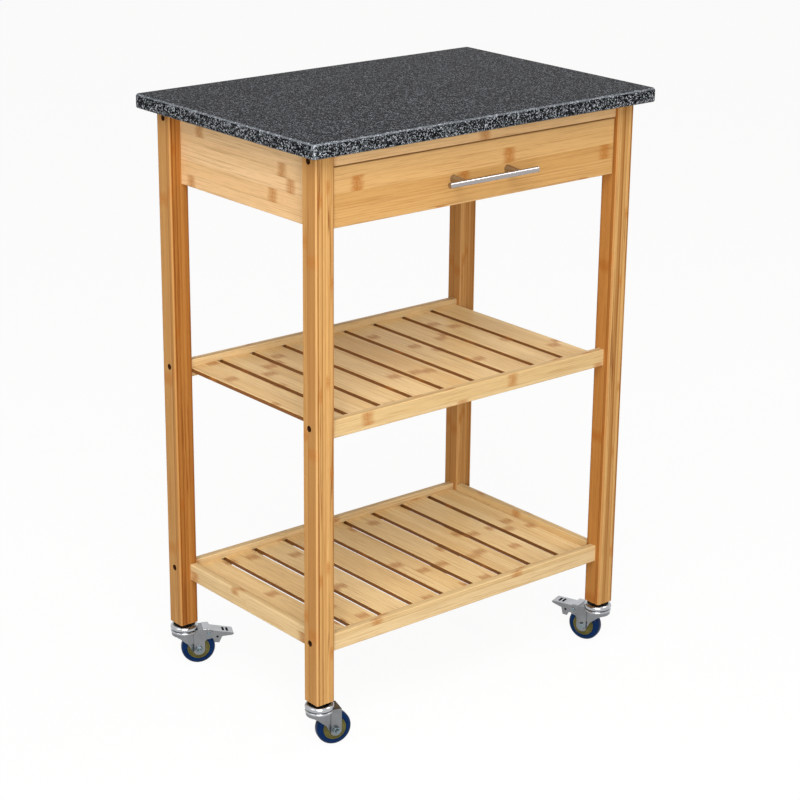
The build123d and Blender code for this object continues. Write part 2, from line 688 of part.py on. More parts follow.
def wheel_tyre():
    """The tyre: a flat tread between two sloping shoulders, moulded round the core's many-sided rim."""
    shoulder = WHEEL_RADIUS - TYRE_CROWN
    side = cone_z(WHEEL_RADIUS, TYRE_TREAD / 2, TYRE_WIDTH / 2, shoulder, WHEEL_SIDES)
    tyre = side + mirror(side, Plane.XY) + rod(WHEEL_RADIUS, TYRE_TREAD, WHEEL_SIDES)
    return on_axle(tyre - rod(HUB_RADIUS, TYRE_WIDTH, CORE_SIDES))


def wheel_hub():
    """The wheel's core: a disc inside the tyre, with a boss that runs on the axle."""
    disc = rod(HUB_RADIUS, HUB_WIDTH, CORE_SIDES)
    boss = rod(HUB_BOSS_RADIUS, HUB_BOSS_WIDTH, HEAD_SIDES)
    return on_axle(disc + boss - rod(AXLE_RADIUS + AXLE_FIT, HUB_BOSS_WIDTH))


def axle_bolt():
    """The axle: round in the wheel, with flats in the fork, a hexagon head and a stud past the nut."""
    head = along_axle(AXLE_HEAD_RADIUS, FORK_HALF, FORK_HALF + AXLE_HEAD_HEIGHT, SHANK_SIDES)
    shank = along_axle(AXLE_RADIUS, -FORK_GAP / 2, FORK_GAP / 2, CORE_SIDES)
    stud = along_axle(AXLE_RADIUS, -FORK_HALF - NUT_HEIGHT - STUD_END, -FORK_GAP / 2, SHANK_SIDES)
    return head + shank + stud + along_axle(AXLE_RADIUS, FORK_GAP / 2, FORK_HALF, SHANK_SIDES)


def axle_nut():
    end = -FORK_HALF - NUT_HEIGHT
    nut = along_axle(NUT_RADIUS, end, -FORK_HALF, SHANK_SIDES)
    return nut - along_axle(AXLE_RADIUS, end, -FORK_HALF, SHANK_SIDES)


def brake_pedal():
    """The pedal: a tread plate with a flange on each side, which turns on a rivet through the fork's ears."""
    half = PEDAL_WIDTH / 2
    root = FORK_BACK + PEDAL_SHEET
    tab_front, tab_back, tab_bottom = PEDAL_TAB
    flange = Polyline(
        (root, PEDAL_TOP),
        (root, PEDAL_FLANGE + 2),
        (tab_front - 1, PEDAL_FLANGE),
        (tab_front + 2, tab_bottom),
        (tab_back - 2, tab_bottom + 0.5),
        (tab_back + 0.5, PAD_PIN[1] + 1.5),
        (PEDAL_TIP - 2, PEDAL_TOP - PEDAL_LIP),
        (PEDAL_TIP, PEDAL_TOP - PEDAL_SHEET),
        (PEDAL_TIP - 1, PEDAL_TOP),
        close=True,
    )
    body = extrude(Plane.XZ * make_face(flange), half, both=True)
    inner = half - PEDAL_SHEET
    body -= block((root - 1, PEDAL_TIP - PEDAL_SHEET), (-inner, inner), (0, PEDAL_TOP - PEDAL_SHEET))
    for x in PEDAL_SLOTS:
        body -= block(
            (x - PEDAL_SLOT_SIZE[0] / 2, x + PEDAL_SLOT_SIZE[0] / 2),
            (-PEDAL_SLOT_SIZE[1] / 2, PEDAL_SLOT_SIZE[1] / 2),
            (0, PEDAL_TOP + 1),
        )
    body -= rod_y(around(RIVET_RADIUS + RIVET_FIT, POST_SIDES), PIVOT[0], -half, half, PIVOT[1], POST_SIDES)
    return body - rod_y(RIVET_RADIUS, PAD_PIN[0], -half, half, PAD_PIN[1], SHANK_SIDES)


def pedal_rivet():
    """The rivet that the pedal turns on, through both ears of the fork."""
    inner = FORK_GAP / 2
    reach = FORK_HALF + RIVET_HEAD_HEIGHT
    pin = rod_y(RIVET_RADIUS, PIVOT[0], -inner, inner, PIVOT[1])
    for end in (-1, 1):
        pin += rod_y(RIVET_RADIUS, PIVOT[0], end * inner, end * FORK_HALF, PIVOT[1], SHANK_SIDES)
        pin += rod_y(RIVET_HEAD, PIVOT[0], end * FORK_HALF, end * reach, PIVOT[1], HEAD_SIDES)
    return pin


def brake_pad():
    """The pad that the pedal presses on the tyre, with its pin through the pedal's flanges."""
    front = PAD_PIN[0] - PAD_LENGTH / 2 + 0.5
    pad = block((front, front + PAD_LENGTH), (-PAD_WIDTH / 2, PAD_WIDTH / 2), (PAD_BOTTOM, PAD_TOP))
    pad = chamfer(pad.faces().sort_by(Axis.Z)[0].edges().filter_by(Axis.Y), 1.0)
    return pad + rod_y(RIVET_RADIUS, PAD_PIN[0], -PEDAL_WIDTH / 2, PEDAL_WIDTH / 2, PAD_PIN[1], SHANK_SIDES)


def pressed(shape, angle):
    """A pedal's piece turned about its pivot, tip down."""
    pivot = Pos(PIVOT[0], 0, PIVOT[1])
    return pivot * Rot(0, angle, 0) * pivot.inverse() * shape


def cart():
    """Every node of the cart, by name: one solid, or a list for a group of like solids."""
    nodes = {
        "worktop": worktop(),
        "side_apron_left": side_apron(-1),
        "side_apron_right": side_apron(1),
        "back_apron": back_apron(),
        "front_top_rail": front_top_rail(),
        "middle_shelf_front_rail": shelf_rail(-1, MIDDLE_SHELF_BOTTOM),
        "middle_shelf_back_rail": shelf_rail(1, MIDDLE_SHELF_BOTTOM),
        "middle_shelf_slats": slats(MIDDLE_SHELF_BOTTOM),
        "bottom_shelf_front_rail": shelf_rail(-1, BOTTOM_SHELF_BOTTOM),
        "bottom_shelf_back_rail": shelf_rail(1, BOTTOM_SHELF_BOTTOM),
        "bottom_shelf_left_rail": side_rail(-1, BOTTOM_SHELF_BOTTOM),
        "bottom_shelf_right_rail": side_rail(1, BOTTOM_SHELF_BOTTOM),
        "bottom_shelf_slats": slats(BOTTOM_SHELF_BOTTOM),
        "worktop_brackets": brackets(),
        "drawer_guides": [guide(-1), guide(1)],
        "drawer_stops": [drawer_stop(-1), drawer_stop(1)],
        "drawer_front": drawer_front(),
        "drawer_left_side": drawer_side(-1),
        "drawer_right_side": drawer_side(1),
        "drawer_back": drawer_back(),
        "drawer_bottom": drawer_bottom(),
        "handle_bar": handle_bar(),
        "handle_posts": handle_posts(),
        "handle_screws": handle_screws(),
    }
    corners = [(side, end) for side in (-1, 1) for end in (-1, 1)]
    nodes["frame_screws"] = [frame_screw(side, end, z) for side, end in corners for z in SCREW_HEIGHTS]
    nodes["frame_dowels"] = [peg for side in (-1, 1) for peg in side_dowels(side) + back_dowels(side)]
    nodes["small_screws"] = [screw for side in (-1, 1) for screw in bracket_screws(side) + guide_screws(side)]
    nodes["caster_stems"] = [under_leg(caster_stem(), spec) for spec in CASTERS.values()]
    nodes["caster_race_caps"] = [under_leg(race_cap(), spec) for spec in CASTERS.values()]
    nodes["leg_inserts"] = [under_leg(leg_insert(), spec) for spec in CASTERS.values()]
    for name, spec in CASTERS.items():
        nodes[f"leg_{name}"] = leg(spec["side"], spec["end"])
        braked = spec["pedal"] is not None
        nodes[f"caster_fork_{name}"] = place(fork(braked), spec)
        nodes[f"wheel_tyre_{name}"] = place(wheel_tyre(), spec)
        nodes[f"wheel_hub_{name}"] = place(wheel_hub(), spec)
        nodes[f"axle_bolt_{name}"] = place(axle_bolt(), spec)
        nodes[f"axle_nut_{name}"] = place(axle_nut(), spec)
        if braked:
            nodes[f"brake_pedal_{name}"] = place(pressed(brake_pedal(), spec["pedal"]), spec)
            nodes[f"brake_pad_{name}"] = place(pressed(brake_pad(), spec["pedal"]), spec)
            nodes[f"pedal_rivet_{name}"] = place(pedal_rivet(), spec)
    return nodes


def main():
    os.makedirs("parts", exist_ok=True)
    for name, shape in cart().items():
        pieces = shape if isinstance(shape, list) else [shape]
        solids = [solid for piece in pieces for solid in piece.solids()]
        export_step(Compound(solids) if len(solids) > 1 else solids[0], f"parts/{name}.step")


main()
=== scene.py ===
import functools
import json
import math

import bmesh
import bpy
from mathutils import Matrix, Vector

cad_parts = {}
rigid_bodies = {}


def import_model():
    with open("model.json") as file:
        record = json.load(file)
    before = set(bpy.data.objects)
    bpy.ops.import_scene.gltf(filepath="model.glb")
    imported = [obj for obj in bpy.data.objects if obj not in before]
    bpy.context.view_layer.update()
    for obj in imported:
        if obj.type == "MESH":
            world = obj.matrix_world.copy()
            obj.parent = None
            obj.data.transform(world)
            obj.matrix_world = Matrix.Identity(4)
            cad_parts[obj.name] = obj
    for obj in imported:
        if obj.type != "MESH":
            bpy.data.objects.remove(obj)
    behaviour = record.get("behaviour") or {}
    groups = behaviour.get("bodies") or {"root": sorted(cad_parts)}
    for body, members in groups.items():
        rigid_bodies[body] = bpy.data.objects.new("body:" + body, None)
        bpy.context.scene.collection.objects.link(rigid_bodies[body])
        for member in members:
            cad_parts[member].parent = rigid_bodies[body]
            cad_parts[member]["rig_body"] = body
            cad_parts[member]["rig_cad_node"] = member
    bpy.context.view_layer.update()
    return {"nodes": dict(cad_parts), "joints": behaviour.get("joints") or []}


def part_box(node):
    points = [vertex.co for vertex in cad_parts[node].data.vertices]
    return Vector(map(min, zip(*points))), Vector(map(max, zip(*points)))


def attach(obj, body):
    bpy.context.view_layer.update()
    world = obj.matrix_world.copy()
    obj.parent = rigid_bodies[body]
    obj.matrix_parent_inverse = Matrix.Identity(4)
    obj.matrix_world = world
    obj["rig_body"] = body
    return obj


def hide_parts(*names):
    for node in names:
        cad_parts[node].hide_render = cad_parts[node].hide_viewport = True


bl_info = {
    "name": "Kitchen Cart",
    "version": (1, 0, 0),
    "blender": (4, 5, 0),
    "location": "3D View > Sidebar > Kitchen Cart",
    "description": "Dresses the kitchen cart: worktop, bamboo frame, drawer, shelves and braked casters",
    "category": "Object",
}

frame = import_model()
JOINTS = {joint["name"]: joint for joint in frame["joints"]}
CORNERS = ("front_left", "front_right", "back_left", "back_right")
BRAKED = ("front_right", "back_left")
MM = 0.001


# Settings that a user would change
def colour(name, description, default):
    return bpy.props.FloatVectorProperty(
        name=name, description=description, subtype="COLOR", size=3, min=0.0, max=1.0, default=default
    )


def length(name, description, default):
    return bpy.props.FloatProperty(
        name=name, description=description, subtype="DISTANCE", unit="LENGTH", min=0.0, default=default
    )


def amount(name, description, default, high=1.0):
    return bpy.props.FloatProperty(name=name, description=description, min=0.0, max=high, default=default)


class CartView(bpy.types.PropertyGroup):
    place: bpy.props.FloatVectorProperty(
        name="Camera place", description="Where the camera stands", subtype="TRANSLATION", unit="LENGTH",
        default=(-1.90535, -2.3006, 1.44502),
    )
    azimuth: bpy.props.FloatProperty(
        name="Azimuth", description="Heading of the camera round the cart", subtype="ANGLE",
        default=math.radians(-39.75),
    )
    elevation: bpy.props.FloatProperty(
        name="Elevation", description="How far the camera looks down", subtype="ANGLE",
        default=math.radians(19.29),
    )
    roll: bpy.props.FloatProperty(
        name="Roll", description="Turn of the camera about its line of sight", subtype="ANGLE",
        default=math.radians(0.59),
    )
    lens: bpy.props.FloatProperty(
        name="Lens", description="Focal length on a 36 mm sensor", subtype="DISTANCE_CAMERA", default=98.85
    )
    key_power: amount("Key light", "Power of the large lamp high at the front left, in watts", 84.0, 1000.0)
    fill_power: amount("Fill light", "Power of the low lamp at the front left, in watts", 63.0, 1000.0)
    side_power: amount("Side light", "Power of the high lamp at the left, in watts", 22.0, 1000.0)
    rim_power: amount("Rim light", "Power of the small high lamp at the right, in watts", 13.0, 1000.0)
    sky: amount("Sky light", "Strength of the even light from all round", 0.24, 4.0)


class BambooFinish(bpy.types.PropertyGroup):
    leg_light: colour("Leg, light strips", "Palest strips of the legs", (0.755, 0.465, 0.182))
    leg_dark: colour("Leg, dark strips", "Darkest strips of the legs", (0.35, 0.145, 0.033))
    panel_light: colour("Panel, light strips", "Palest strips of the side panels", (0.90, 0.65, 0.38))
    panel_dark: colour("Panel, dark strips", "Darkest strips of the side panels", (0.74, 0.46, 0.21))
    front_light: colour("Drawer, light strips", "Palest strips of the drawer front", (0.77, 0.50, 0.225))
    front_dark: colour("Drawer, dark strips", "Darkest strips of the drawer front", (0.54, 0.29, 0.090))
    # The slats' colours are a paler copy of the rails': painted light on the slats and painted shade on the
    # rails
    shelf_light: colour("Shelf, light strips", "Palest strips of the slats", (0.94, 0.73, 0.40))
    shelf_dark: colour("Shelf, dark strips", "Darkest strips of the slats", (0.79, 0.53, 0.23))
    rail_light: colour("Rail, light strips", "Palest strips of the shelf rails", (0.79, 0.61, 0.35))
    rail_dark: colour("Rail, dark strips", "Darkest strips of the shelf rails", (0.64, 0.44, 0.19))
    # Dark colours for the slats' side faces: painted shade in the gaps
    side_light: colour("Slat side, light strips", "Palest strips in the slats' gaps", (0.26, 0.105, 0.03))
    side_dark: colour("Slat side, dark strips", "Darkest strips in the slats' gaps", (0.208, 0.084, 0.024))
    # Colour that darkens the legs' inner faces: painted shade
    inner_tint: colour("Leg, inner faces", "Tint of the legs' faces towards the middle", (0.84, 0.68, 0.48))
    # Colour of the holes' walls and floors: painted shade
    hole: colour("Screw hole", "Dark walls of the drilled holes", (0.045, 0.017, 0.007))
    vein: colour("Vein", "Long dark lines between the strips' bundles", (0.21, 0.062, 0.010))
    knot: colour("Node", "The marks where the cane had its nodes", (0.44, 0.165, 0.033))
    fibre: colour("Fibre", "Dark fibres along the grain", (0.34, 0.13, 0.028))
    arris: colour("Sanded edge", "Pale wood where an edge was sanded", (0.93, 0.66, 0.32))
    strip: length("Strip width", "Width of one strip on a flat face", 18.5 * MM)
    layer: length("Layer thickness", "Thickness of one glued layer", 6.0 * MM)
    spacing: length("Node spacing", "How far apart a strip's nodes are", 0.26)
    edge: length("Edge rounding", "Rounding of the sanded edges", 0.7 * MM)


class StoneFinish(bpy.types.PropertyGroup):
    black: colour("Black grains", "Darkest grains", (0.002, 0.0025, 0.003))
    grey: colour("Grey grains", "Grains between black and pale", (0.022, 0.024, 0.028))
    pale: colour("Pale grains", "Palest grains", (0.52, 0.57, 0.64))
    polished: colour("Polished top", "What dims the grains on the polished top", (0.009, 0.008, 0.011))
    grain: length("Grain size", "Size of a large grain", 2.2 * MM)
    roughness: amount("Roughness", "Roughness of the polish", 0.22)


class MetalFinish(bpy.types.PropertyGroup):
    zinc: colour("Zinc", "Zinc-plated steel of the forks", (0.25, 0.256, 0.266))
    # Zinc lightened as painted highlight, on the caps, beads, strap tops and pedal treads
    bright_zinc: colour("Bright zinc", "Polished zinc of the caps and pedals", (0.47, 0.48, 0.50))
    zinc_bolt: colour("Blue zinc", "Blue-passivated bolts and nuts", (0.23, 0.28, 0.30))
    steel: colour("Satin steel", "Brushed steel of the handle", (0.42, 0.39, 0.385))
    screw: colour("Dark screw", "Steel of the sunk screws", (0.03, 0.027, 0.025))
    brass: colour("Insert", "Dull brass of the threaded sleeves", (0.22, 0.15, 0.06))
    edge: length("Sheet edge rounding", "Rounding of the stamped edges", 0.45 * MM)


class WheelFinish(bpy.types.PropertyGroup):
    tyre: colour("Tyre", "Blue of the tyres", (0.0004, 0.016, 0.074))
    core: colour("Core", "Olive of the wheel cores", (0.11, 0.10, 0.030))
    plastic: colour("Black plastic", "Brake pads and dust seals", (0.012, 0.012, 0.013))
    crown: length("Tyre rounding", "How far the tyre's rounding reaches in from its sides", 6.2 * MM)
    dish: length("Core recess", "How deep the core's web lies", 1.6 * MM)


GROUPS = {
    "cart_view": CartView,
    "bamboo_finish": BambooFinish,
    "stone_finish": StoneFinish,
    "metal_finish": MetalFinish,
    "wheel_finish": WheelFinish,
}


# Shader node groups for effects that several materials share
def by_node(operation):
    """A sum, product or the like of values, worked out by one more node."""
    return lambda *values: values[0].graph.math(operation, *values)


class Value:
    """What a node gives."""

    __add__ = by_node("ADD")
    __sub__ = by_node("SUBTRACT")
    __mul__ = by_node("MULTIPLY")
    __truediv__ = by_node("DIVIDE")
    __abs__ = by_node("ABSOLUTE")
    __floor__ = by_node("FLOOR")
    fraction = by_node("FRACT")
    larger = by_node("MAXIMUM")
    smaller = by_node("MINIMUM")

    def __init__(self, graph, socket):
        self.graph = graph
        self.socket = socket

    def __rsub__(self, other):
        return self.graph.math("SUBTRACT", other, self)

    def __rtruediv__(self, other):
        return self.graph.math("DIVIDE", other, self)

    def ramp(self, low, high):
        """0 below low, 1 above high, smooth between."""
        inputs = {"Value": self, "From Min": low, "From Max": high}
        return self.graph.value("ShaderNodeMapRange", inputs, interpolation_type="SMOOTHSTEP")


class Graph:
    """Adds nodes to a material's or group's tree, from left to right."""

    def __init__(self, tree):
        self.tree = tree
        self.column = 0

    def add(self, kind, inputs=None, **options):
        node = self.tree.nodes.new(kind)
        self.column += 1
        node.location = (self.column * 180, -(self.column % 4) * 160)
        for key, value in options.items():
            setattr(node, key, value)
        for key, value in (inputs or {}).items():
            self.give(node.inputs[key], value)
        return node

    def give(self, socket, value):
        """Links the socket to another node's value, or else sets it."""
        if isinstance(value, Value):
            self.tree.links.new(value.socket, socket)
        else:
            socket.default_value = (*value[:3], 1.0) if socket.type == "RGBA" else value

    def value(self, kind, inputs, output=0, **options):
        """One output of a new node."""
        return Value(self, self.add(kind, inputs, **options).outputs[output])

    def values(self, kind, inputs=None, **options):
        """All outputs of a new node, by name."""
        return {socket.name: Value(self, socket) for socket in self.add(kind, inputs, **options).outputs}

    def use(self, group, **inputs):
        return self.values("ShaderNodeGroup", inputs, node_tree=group)

    def math(self, operation, *values, clamp=False):
        return self.value("ShaderNodeMath", dict(enumerate(values)), operation=operation, use_clamp=clamp)

    def vector(self, operation, *values):
        return self.value("ShaderNodeVectorMath", dict(enumerate(values)), operation=operation)

    def mix(self, factor, first, second, blend="MIX"):
        inputs = {0: factor, 6: first, 7: second}
        return self.value("ShaderNodeMix", inputs, 2, data_type="RGBA", blend_type=blend)

    def noise(self, vector, scale, detail=2.0, roughness=0.5):
        inputs = {"Vector": vector, "Scale": scale, "Detail": detail, "Roughness": roughness}
        return self.value("ShaderNodeTexNoise", inputs, "Fac")

    def grain(self, vector, along, across, detail=2.0, roughness=0.5):
        """Noise that is drawn out along the vector's first axis: waves in a metre along it and across it."""
        return self.noise(self.vector("MULTIPLY", vector, (along, across, across)), 1.0, detail, roughness)

    def chance(self, x, y, z=0.5):
        """A random value, and a random colour, for each step of the numbers."""
        return self.values("ShaderNodeTexWhiteNoise", {"Vector": self.combine(x, y, z)})

    def separate(self, vector):
        return list(self.values("ShaderNodeSeparateXYZ", {0: vector}).values())

    def combine(self, x, y, z):
        return self.value("ShaderNodeCombineXYZ", {0: x, 1: y, 2: z})


def node_group(name, **inputs):
    """Makes a function that works out a group's outputs give the group itself, built at its first use.

    An input's default is a number, or None for a vector.
    """
    def wrap(build):
        @functools.wraps(build)
        def group():
            if name in bpy.data.node_groups:
                return bpy.data.node_groups[name]
            tree = bpy.data.node_groups.new(name, "ShaderNodeTree")
            for label, default in inputs.items():
                kind = "NodeSocketVector" if default is None else "NodeSocketFloat"
                socket = tree.interface.new_socket(label, in_out="INPUT", socket_type=kind)
                if default is not None:
                    socket.default_value = default
            graph = Graph(tree)
            outputs = build(graph, graph.values("NodeGroupInput"))
            for label in outputs:
                tree.interface.new_socket(label, in_out="OUTPUT", socket_type="NodeSocketFloat")
            graph.add("NodeGroupOutput", outputs)
            return tree
        return group
    return wrap


@node_group("Bamboo strips", Vector=None, Strip=0.0185, Layer=0.006, Spacing=0.3)
def bamboo_strips(graph, given):
    """Glued bamboo as a solid pattern: x runs along the grain, y across the strips, z through the layers."""
    place = given["Vector"]

    # The strip and the glued layer that a point is in, and random numbers for each strip
    sway = (graph.grain(place, 3.0, 40.0, 1.0) - 0.5) * 0.002
    along, across, through = graph.separate(place)
    bent = graph.combine(along, across + sway, through)
    layers = through / given["Layer"]
    layer = math.floor(layers)
    strips = graph.separate(bent)[1] / given["Strip"] + layer * 0.37
    tone, start, turn = graph.separate(graph.chance(math.floor(strips), layer)["Color"])

    # Fibres as fine lines and short dashes, and the long veins between their bundles
    fine = graph.grain(bent, 9.0, 560.0, 4.0, 0.62)
    short = graph.grain(bent, 50.0, 1200.0)
    broad = graph.grain(bent, 3.2, 230.0)
    fibre = graph.math("ADD", short.ramp(0.50, 0.74) * 0.45, fine.ramp(0.46, 0.70) * 0.75, clamp=True)
    bundle = graph.grain(place, 1.6, 150.0, 1.0)
    vein = (1.0 - abs(bundle - 0.5).ramp(0.003, 0.028)) * fine.ramp(0.36, 0.60)

    # Nodes, each strip's at its own places: a mottled patch across the strip with a thin line in it
    cane = along / given["Spacing"] + start * 7.0
    wave = (graph.grain(place, 30.0, 160.0) - 0.5) * 0.009
    away = abs((cane.fraction() - 0.5) * given["Spacing"] + wave)
    mottle = graph.grain(place, 260.0, 480.0, 3.0, 0.7).ramp(0.35, 0.62) * 0.35 + 0.55
    patch = (1.0 - away.ramp(0.0030, 0.0140)) * mottle
    line = 1.0 - away.ramp(0.0004, 0.0014)
    some = turn.ramp(0.18, 0.22)

    # Seams between the strips, and broken ones between the layers, which are darker towards the rind
    seam = abs(strips.fraction() - 0.5).ramp(0.478, 0.496)
    layer_seam = abs(layers.fraction() - 0.5).ramp(0.34, 0.45)
    joint = graph.chance(math.floor(layers + 0.5), 2.5)["Value"]
    broken = (broad.ramp(0.36, 0.56) * 0.70 + 0.30) * joint.ramp(0.10, 0.75)
    seams = seam.larger(layer_seam * broken)
    rind = layers.fraction().ramp(0.45, 1.0)
    return {
        "Tone": graph.math("ADD", tone * 0.65 + broad * 0.35, rind * 0.20, clamp=True),
        "Fibre": fibre, "Vein": vein, "Node": patch * some, "Node line": line * some, "Seam": seams,
        "Height": fibre * -0.6 + seams * -0.5,
    }


@node_group("Inner faces", Vector=None, Normal=None)
def inner_faces(graph, given):
    """A mask for painted shade on the legs' faces that look towards the cart's middle, weaker on the back
    right leg.
    """
    outward = graph.vector("SIGN", given["Vector"])
    normal = graph.separate(graph.vector("MULTIPLY", given["Normal"], outward))
    inward = normal[0].smaller(normal[1]) * -1.0
    side = graph.separate(outward)
    back_right = side[0].smaller(side[1]).larger(0.0)
    return {"Inner": inward.ramp(0.35, 0.9) * (1.0 - back_right * 0.75)}


@node_group("Sanded edges", Normal=None)
def sanded_edges(graph, given):
    """A mask for painted highlight on the slanted faces between two flat ones, from the normal along the
    piece's own axes.
    """
    x, y, z = graph.separate(graph.vector("ABSOLUTE", given["Normal"]))
    return {"Edge": (1.0 - x.larger(y).larger(z)).ramp(0.04, 0.24)}


@node_group("Stone grains", Vector=None, Grain=0.0022)
def stone_grains(graph, given):
    """Granite as a solid pattern of irregular grains at two sizes."""
    place = given["Vector"]
    size = 1.0 / given["Grain"]
    warp = graph.value("ShaderNodeTexNoise", {"Vector": place, "Scale": size, "Detail": 3.0}, "Color")
    bent = graph.vector("ADD", place, graph.vector("MULTIPLY", warp, (0.0022, 0.0022, 0.0022)))
    coarse, small = (
        graph.separate(graph.value("ShaderNodeTexVoronoi", {"Vector": bent, "Scale": scale}, "Color"))
        for scale in (size, size * 2.1)
    )
    return {
        "Grey": coarse[0].ramp(0.35, 0.95) * small[1].ramp(0.05, 0.8),
        "Pale": small[0].ramp(0.62, 0.86) * coarse[1].ramp(0.15, 0.75),
        "Cloud": graph.noise(place, 14.0),
    }


@node_group("Surface wear", Vector=None, Roughness=0.3, Spread=0.1)
def surface_wear(graph, given):
    """Handling marks: cloudy smears, fine scratches and small pits."""
    place = given["Vector"]
    smear = graph.noise(place, 45.0, 4.0, 0.6)
    pits = graph.noise(place, 900.0, 2.0, 0.6)
    scratch = graph.noise(graph.vector("MULTIPLY", place, (240.0, 240.0, 1900.0)), 1.0)
    level = (smear - 0.5) * given["Spread"] * 2.0 + given["Roughness"]
    level = graph.math("ADD", level, scratch.ramp(0.62, 0.8) * 0.06, clamp=True)
    return {"Roughness": level, "Smear": smear, "Height": pits * 0.5 + smear * 0.5}


# Materials
def surface(name, bump, build, **fixed):
    """The material of that name, made at its first use.

    Build gives its colour, roughness and height from its graph, the place on the piece and the normal. Bump
    is the height's strength and distance. Fixed holds the shader's inputs that are the same all over.
    """
    if name in bpy.data.materials:
        return bpy.data.materials[name]
    made = bpy.data.materials.new(name)
    made.use_nodes = True
    nodes = made.node_tree.nodes
    graph = Graph(made.node_tree)
    coordinates = graph.values("ShaderNodeTexCoord")
    tint, roughness, height = build(graph, coordinates["Object"], coordinates["Normal"])
    raised = graph.value("ShaderNodeBump", {"Height": height, "Strength": bump[0], "Distance": bump[1]})
    inputs = {"Base Color": tint, "Roughness": roughness, "Normal": raised, **fixed}
    for key, value in inputs.items():
        graph.give(nodes["Principled BSDF"].inputs[key], value)
    nodes["Principled BSDF"].location = (4200, 0)
    nodes["Material Output"].location = (4500, 0)
    return made


# What sets each part's bamboo apart: its name, with a place for the order of the axes where that varies, the
# width of its strips, or None for the usual one, and how strongly its nodes, seams and veins show
BAMBOO = {
    "leg": ("Leg bamboo", 21.0 * MM, 0.7, 0.85, 0.78),
    "panel": ("Panel bamboo {}", None, 0.8, 0.22, 0.12),
    "front": ("Drawer front bamboo", 20.5 * MM, 1.0, 0.22, 0.25),
    # Slats and rails: a paler and a darker copy of one bamboo, as painted light and painted shade
    "shelf": ("Shelf bamboo {}", None, 0.8, 0.22, 0.15),
    # The slats' side faces: a dark bamboo as painted shade in the gaps
    "side": ("Slat side bamboo", None, 0.8, 0.22, 0.25),
    "rail": ("Rail bamboo {}", None, 0.8, 0.22, 0.15),
}

# The name and roughness of each metal
METALS = {
    "zinc": ("Zinc plate", 0.30),
    # Zinc lightened as painted highlight
    "bright_zinc": ("Bright zinc plate", 0.20),
    "zinc_bolt": ("Blue zinc plate", 0.22),
    "screw": ("Dark screw steel", 0.42),
    "brass": ("Brass", 0.34),
}

# The name, roughness and index of refraction of each plain surface, and the settings that hold its colour
MOULDED = {
    "tyre": ("Blue tyre", 0.26, 1.18, "wheel_finish"),
    "core": ("Olive core", 0.42, 1.2, "wheel_finish"),
    "plastic": ("Black plastic", 0.50, 1.15, "wheel_finish"),
    # Painted shade on the walls and floors of the screw holes
    "hole": ("Drilled wood", 0.80, 1.05, "bamboo_finish"),
}


def bamboo(part, order):
    """Bamboo under satin lacquer. Order names the axes of the grain, of the strips and of the layers."""
    finish = bpy.context.scene.bamboo_finish
    name, strip, node_share, seam_share, vein_share = BAMBOO[part]

    def build(graph, place, normal):
        axes = dict(zip("XYZ", graph.separate(place)))
        strips = graph.use(
            bamboo_strips(), Vector=graph.combine(*(axes[letter] for letter in order)),
            Strip=strip or finish.strip, Layer=finish.layer, Spacing=finish.spacing,
        )
        body = graph.mix(strips["Tone"], getattr(finish, part + "_light"), getattr(finish, part + "_dark"))
        body = graph.mix(strips["Fibre"] * 0.48, body, finish.fibre)
        veins = strips["Vein"] * vein_share
        if part == "leg":
            # Its faces to the sides show the strips' broad faces, with fewer veins than their edges
            veins = veins * (1.0 - abs(graph.separate(normal)[0]) * 0.70)
        body = graph.mix(veins, body, finish.vein)
        body = graph.mix(strips["Node"] * (0.95 * node_share), body, finish.knot)
        body = graph.mix(strips["Node line"] * (0.50 * node_share), body, finish.knot)
        body = graph.mix(strips["Seam"] * seam_share, body, finish.vein)
        # A pale colour on the slanted edge faces: painted highlight
        body = graph.mix(graph.use(sanded_edges(), Normal=normal)["Edge"] * 0.25, body, finish.arris)
        # The legs' faces towards the middle are darkened: painted shade
        if part == "leg":
            inner = graph.use(inner_faces(), Vector=place, Normal=normal)["Inner"]
            body = graph.mix(inner, body, finish.inner_tint, "MULTIPLY")
        wear = graph.use(surface_wear(), Vector=place, Roughness=0.40, Spread=0.12)
        return body, wear["Roughness"], strips["Height"]

    return surface(name.format(order), (0.25, 0.0003), build, IOR=1.16)


def granite():
    """Speckled granite, with painted shade that darkens its top and a painted highlight along its edges."""
    finish = bpy.context.scene.stone_finish

    def build(graph, place, normal):
        grains = graph.use(stone_grains(), Vector=place, Grain=finish.grain)
        body = graph.mix(grains["Grey"], finish.black, finish.grey)
        body = graph.mix(grains["Pale"], body, finish.pale)
        body = graph.mix(grains["Cloud"] * 0.12, body, finish.grey)
        # Paler on the slanted edge faces: painted highlight
        body = graph.mix(graph.use(sanded_edges(), Normal=normal)["Edge"] * 0.22, body, finish.pale)
        # The top faces are darkened: painted shade
        body = graph.mix(graph.separate(normal)[2].ramp(0.90, 0.99) * 0.50, body, finish.polished)
        wear = graph.use(surface_wear(), Vector=place, Roughness=finish.roughness, Spread=0.05)
        return body, wear["Roughness"] + grains["Pale"] * 0.10, grains["Pale"]

    return surface("Polished granite", (0.08, 0.0002), build, IOR=1.03)


def metal(kind):
    """Plated or plain steel, brighter and duller in cloudy patches."""
    name, roughness = METALS[kind]
    tint = getattr(bpy.context.scene.metal_finish, kind)

    def build(graph, place, normal):
        wear = graph.use(surface_wear(), Vector=place, Roughness=roughness, Spread=0.10)
        body = graph.mix(wear["Smear"].ramp(0.35, 0.7), tint, [0.82 * value for value in tint])
        return body, wear["Roughness"], wear["Height"]

    return surface(name, (0.06, 0.0002), build, Metallic=1.0)


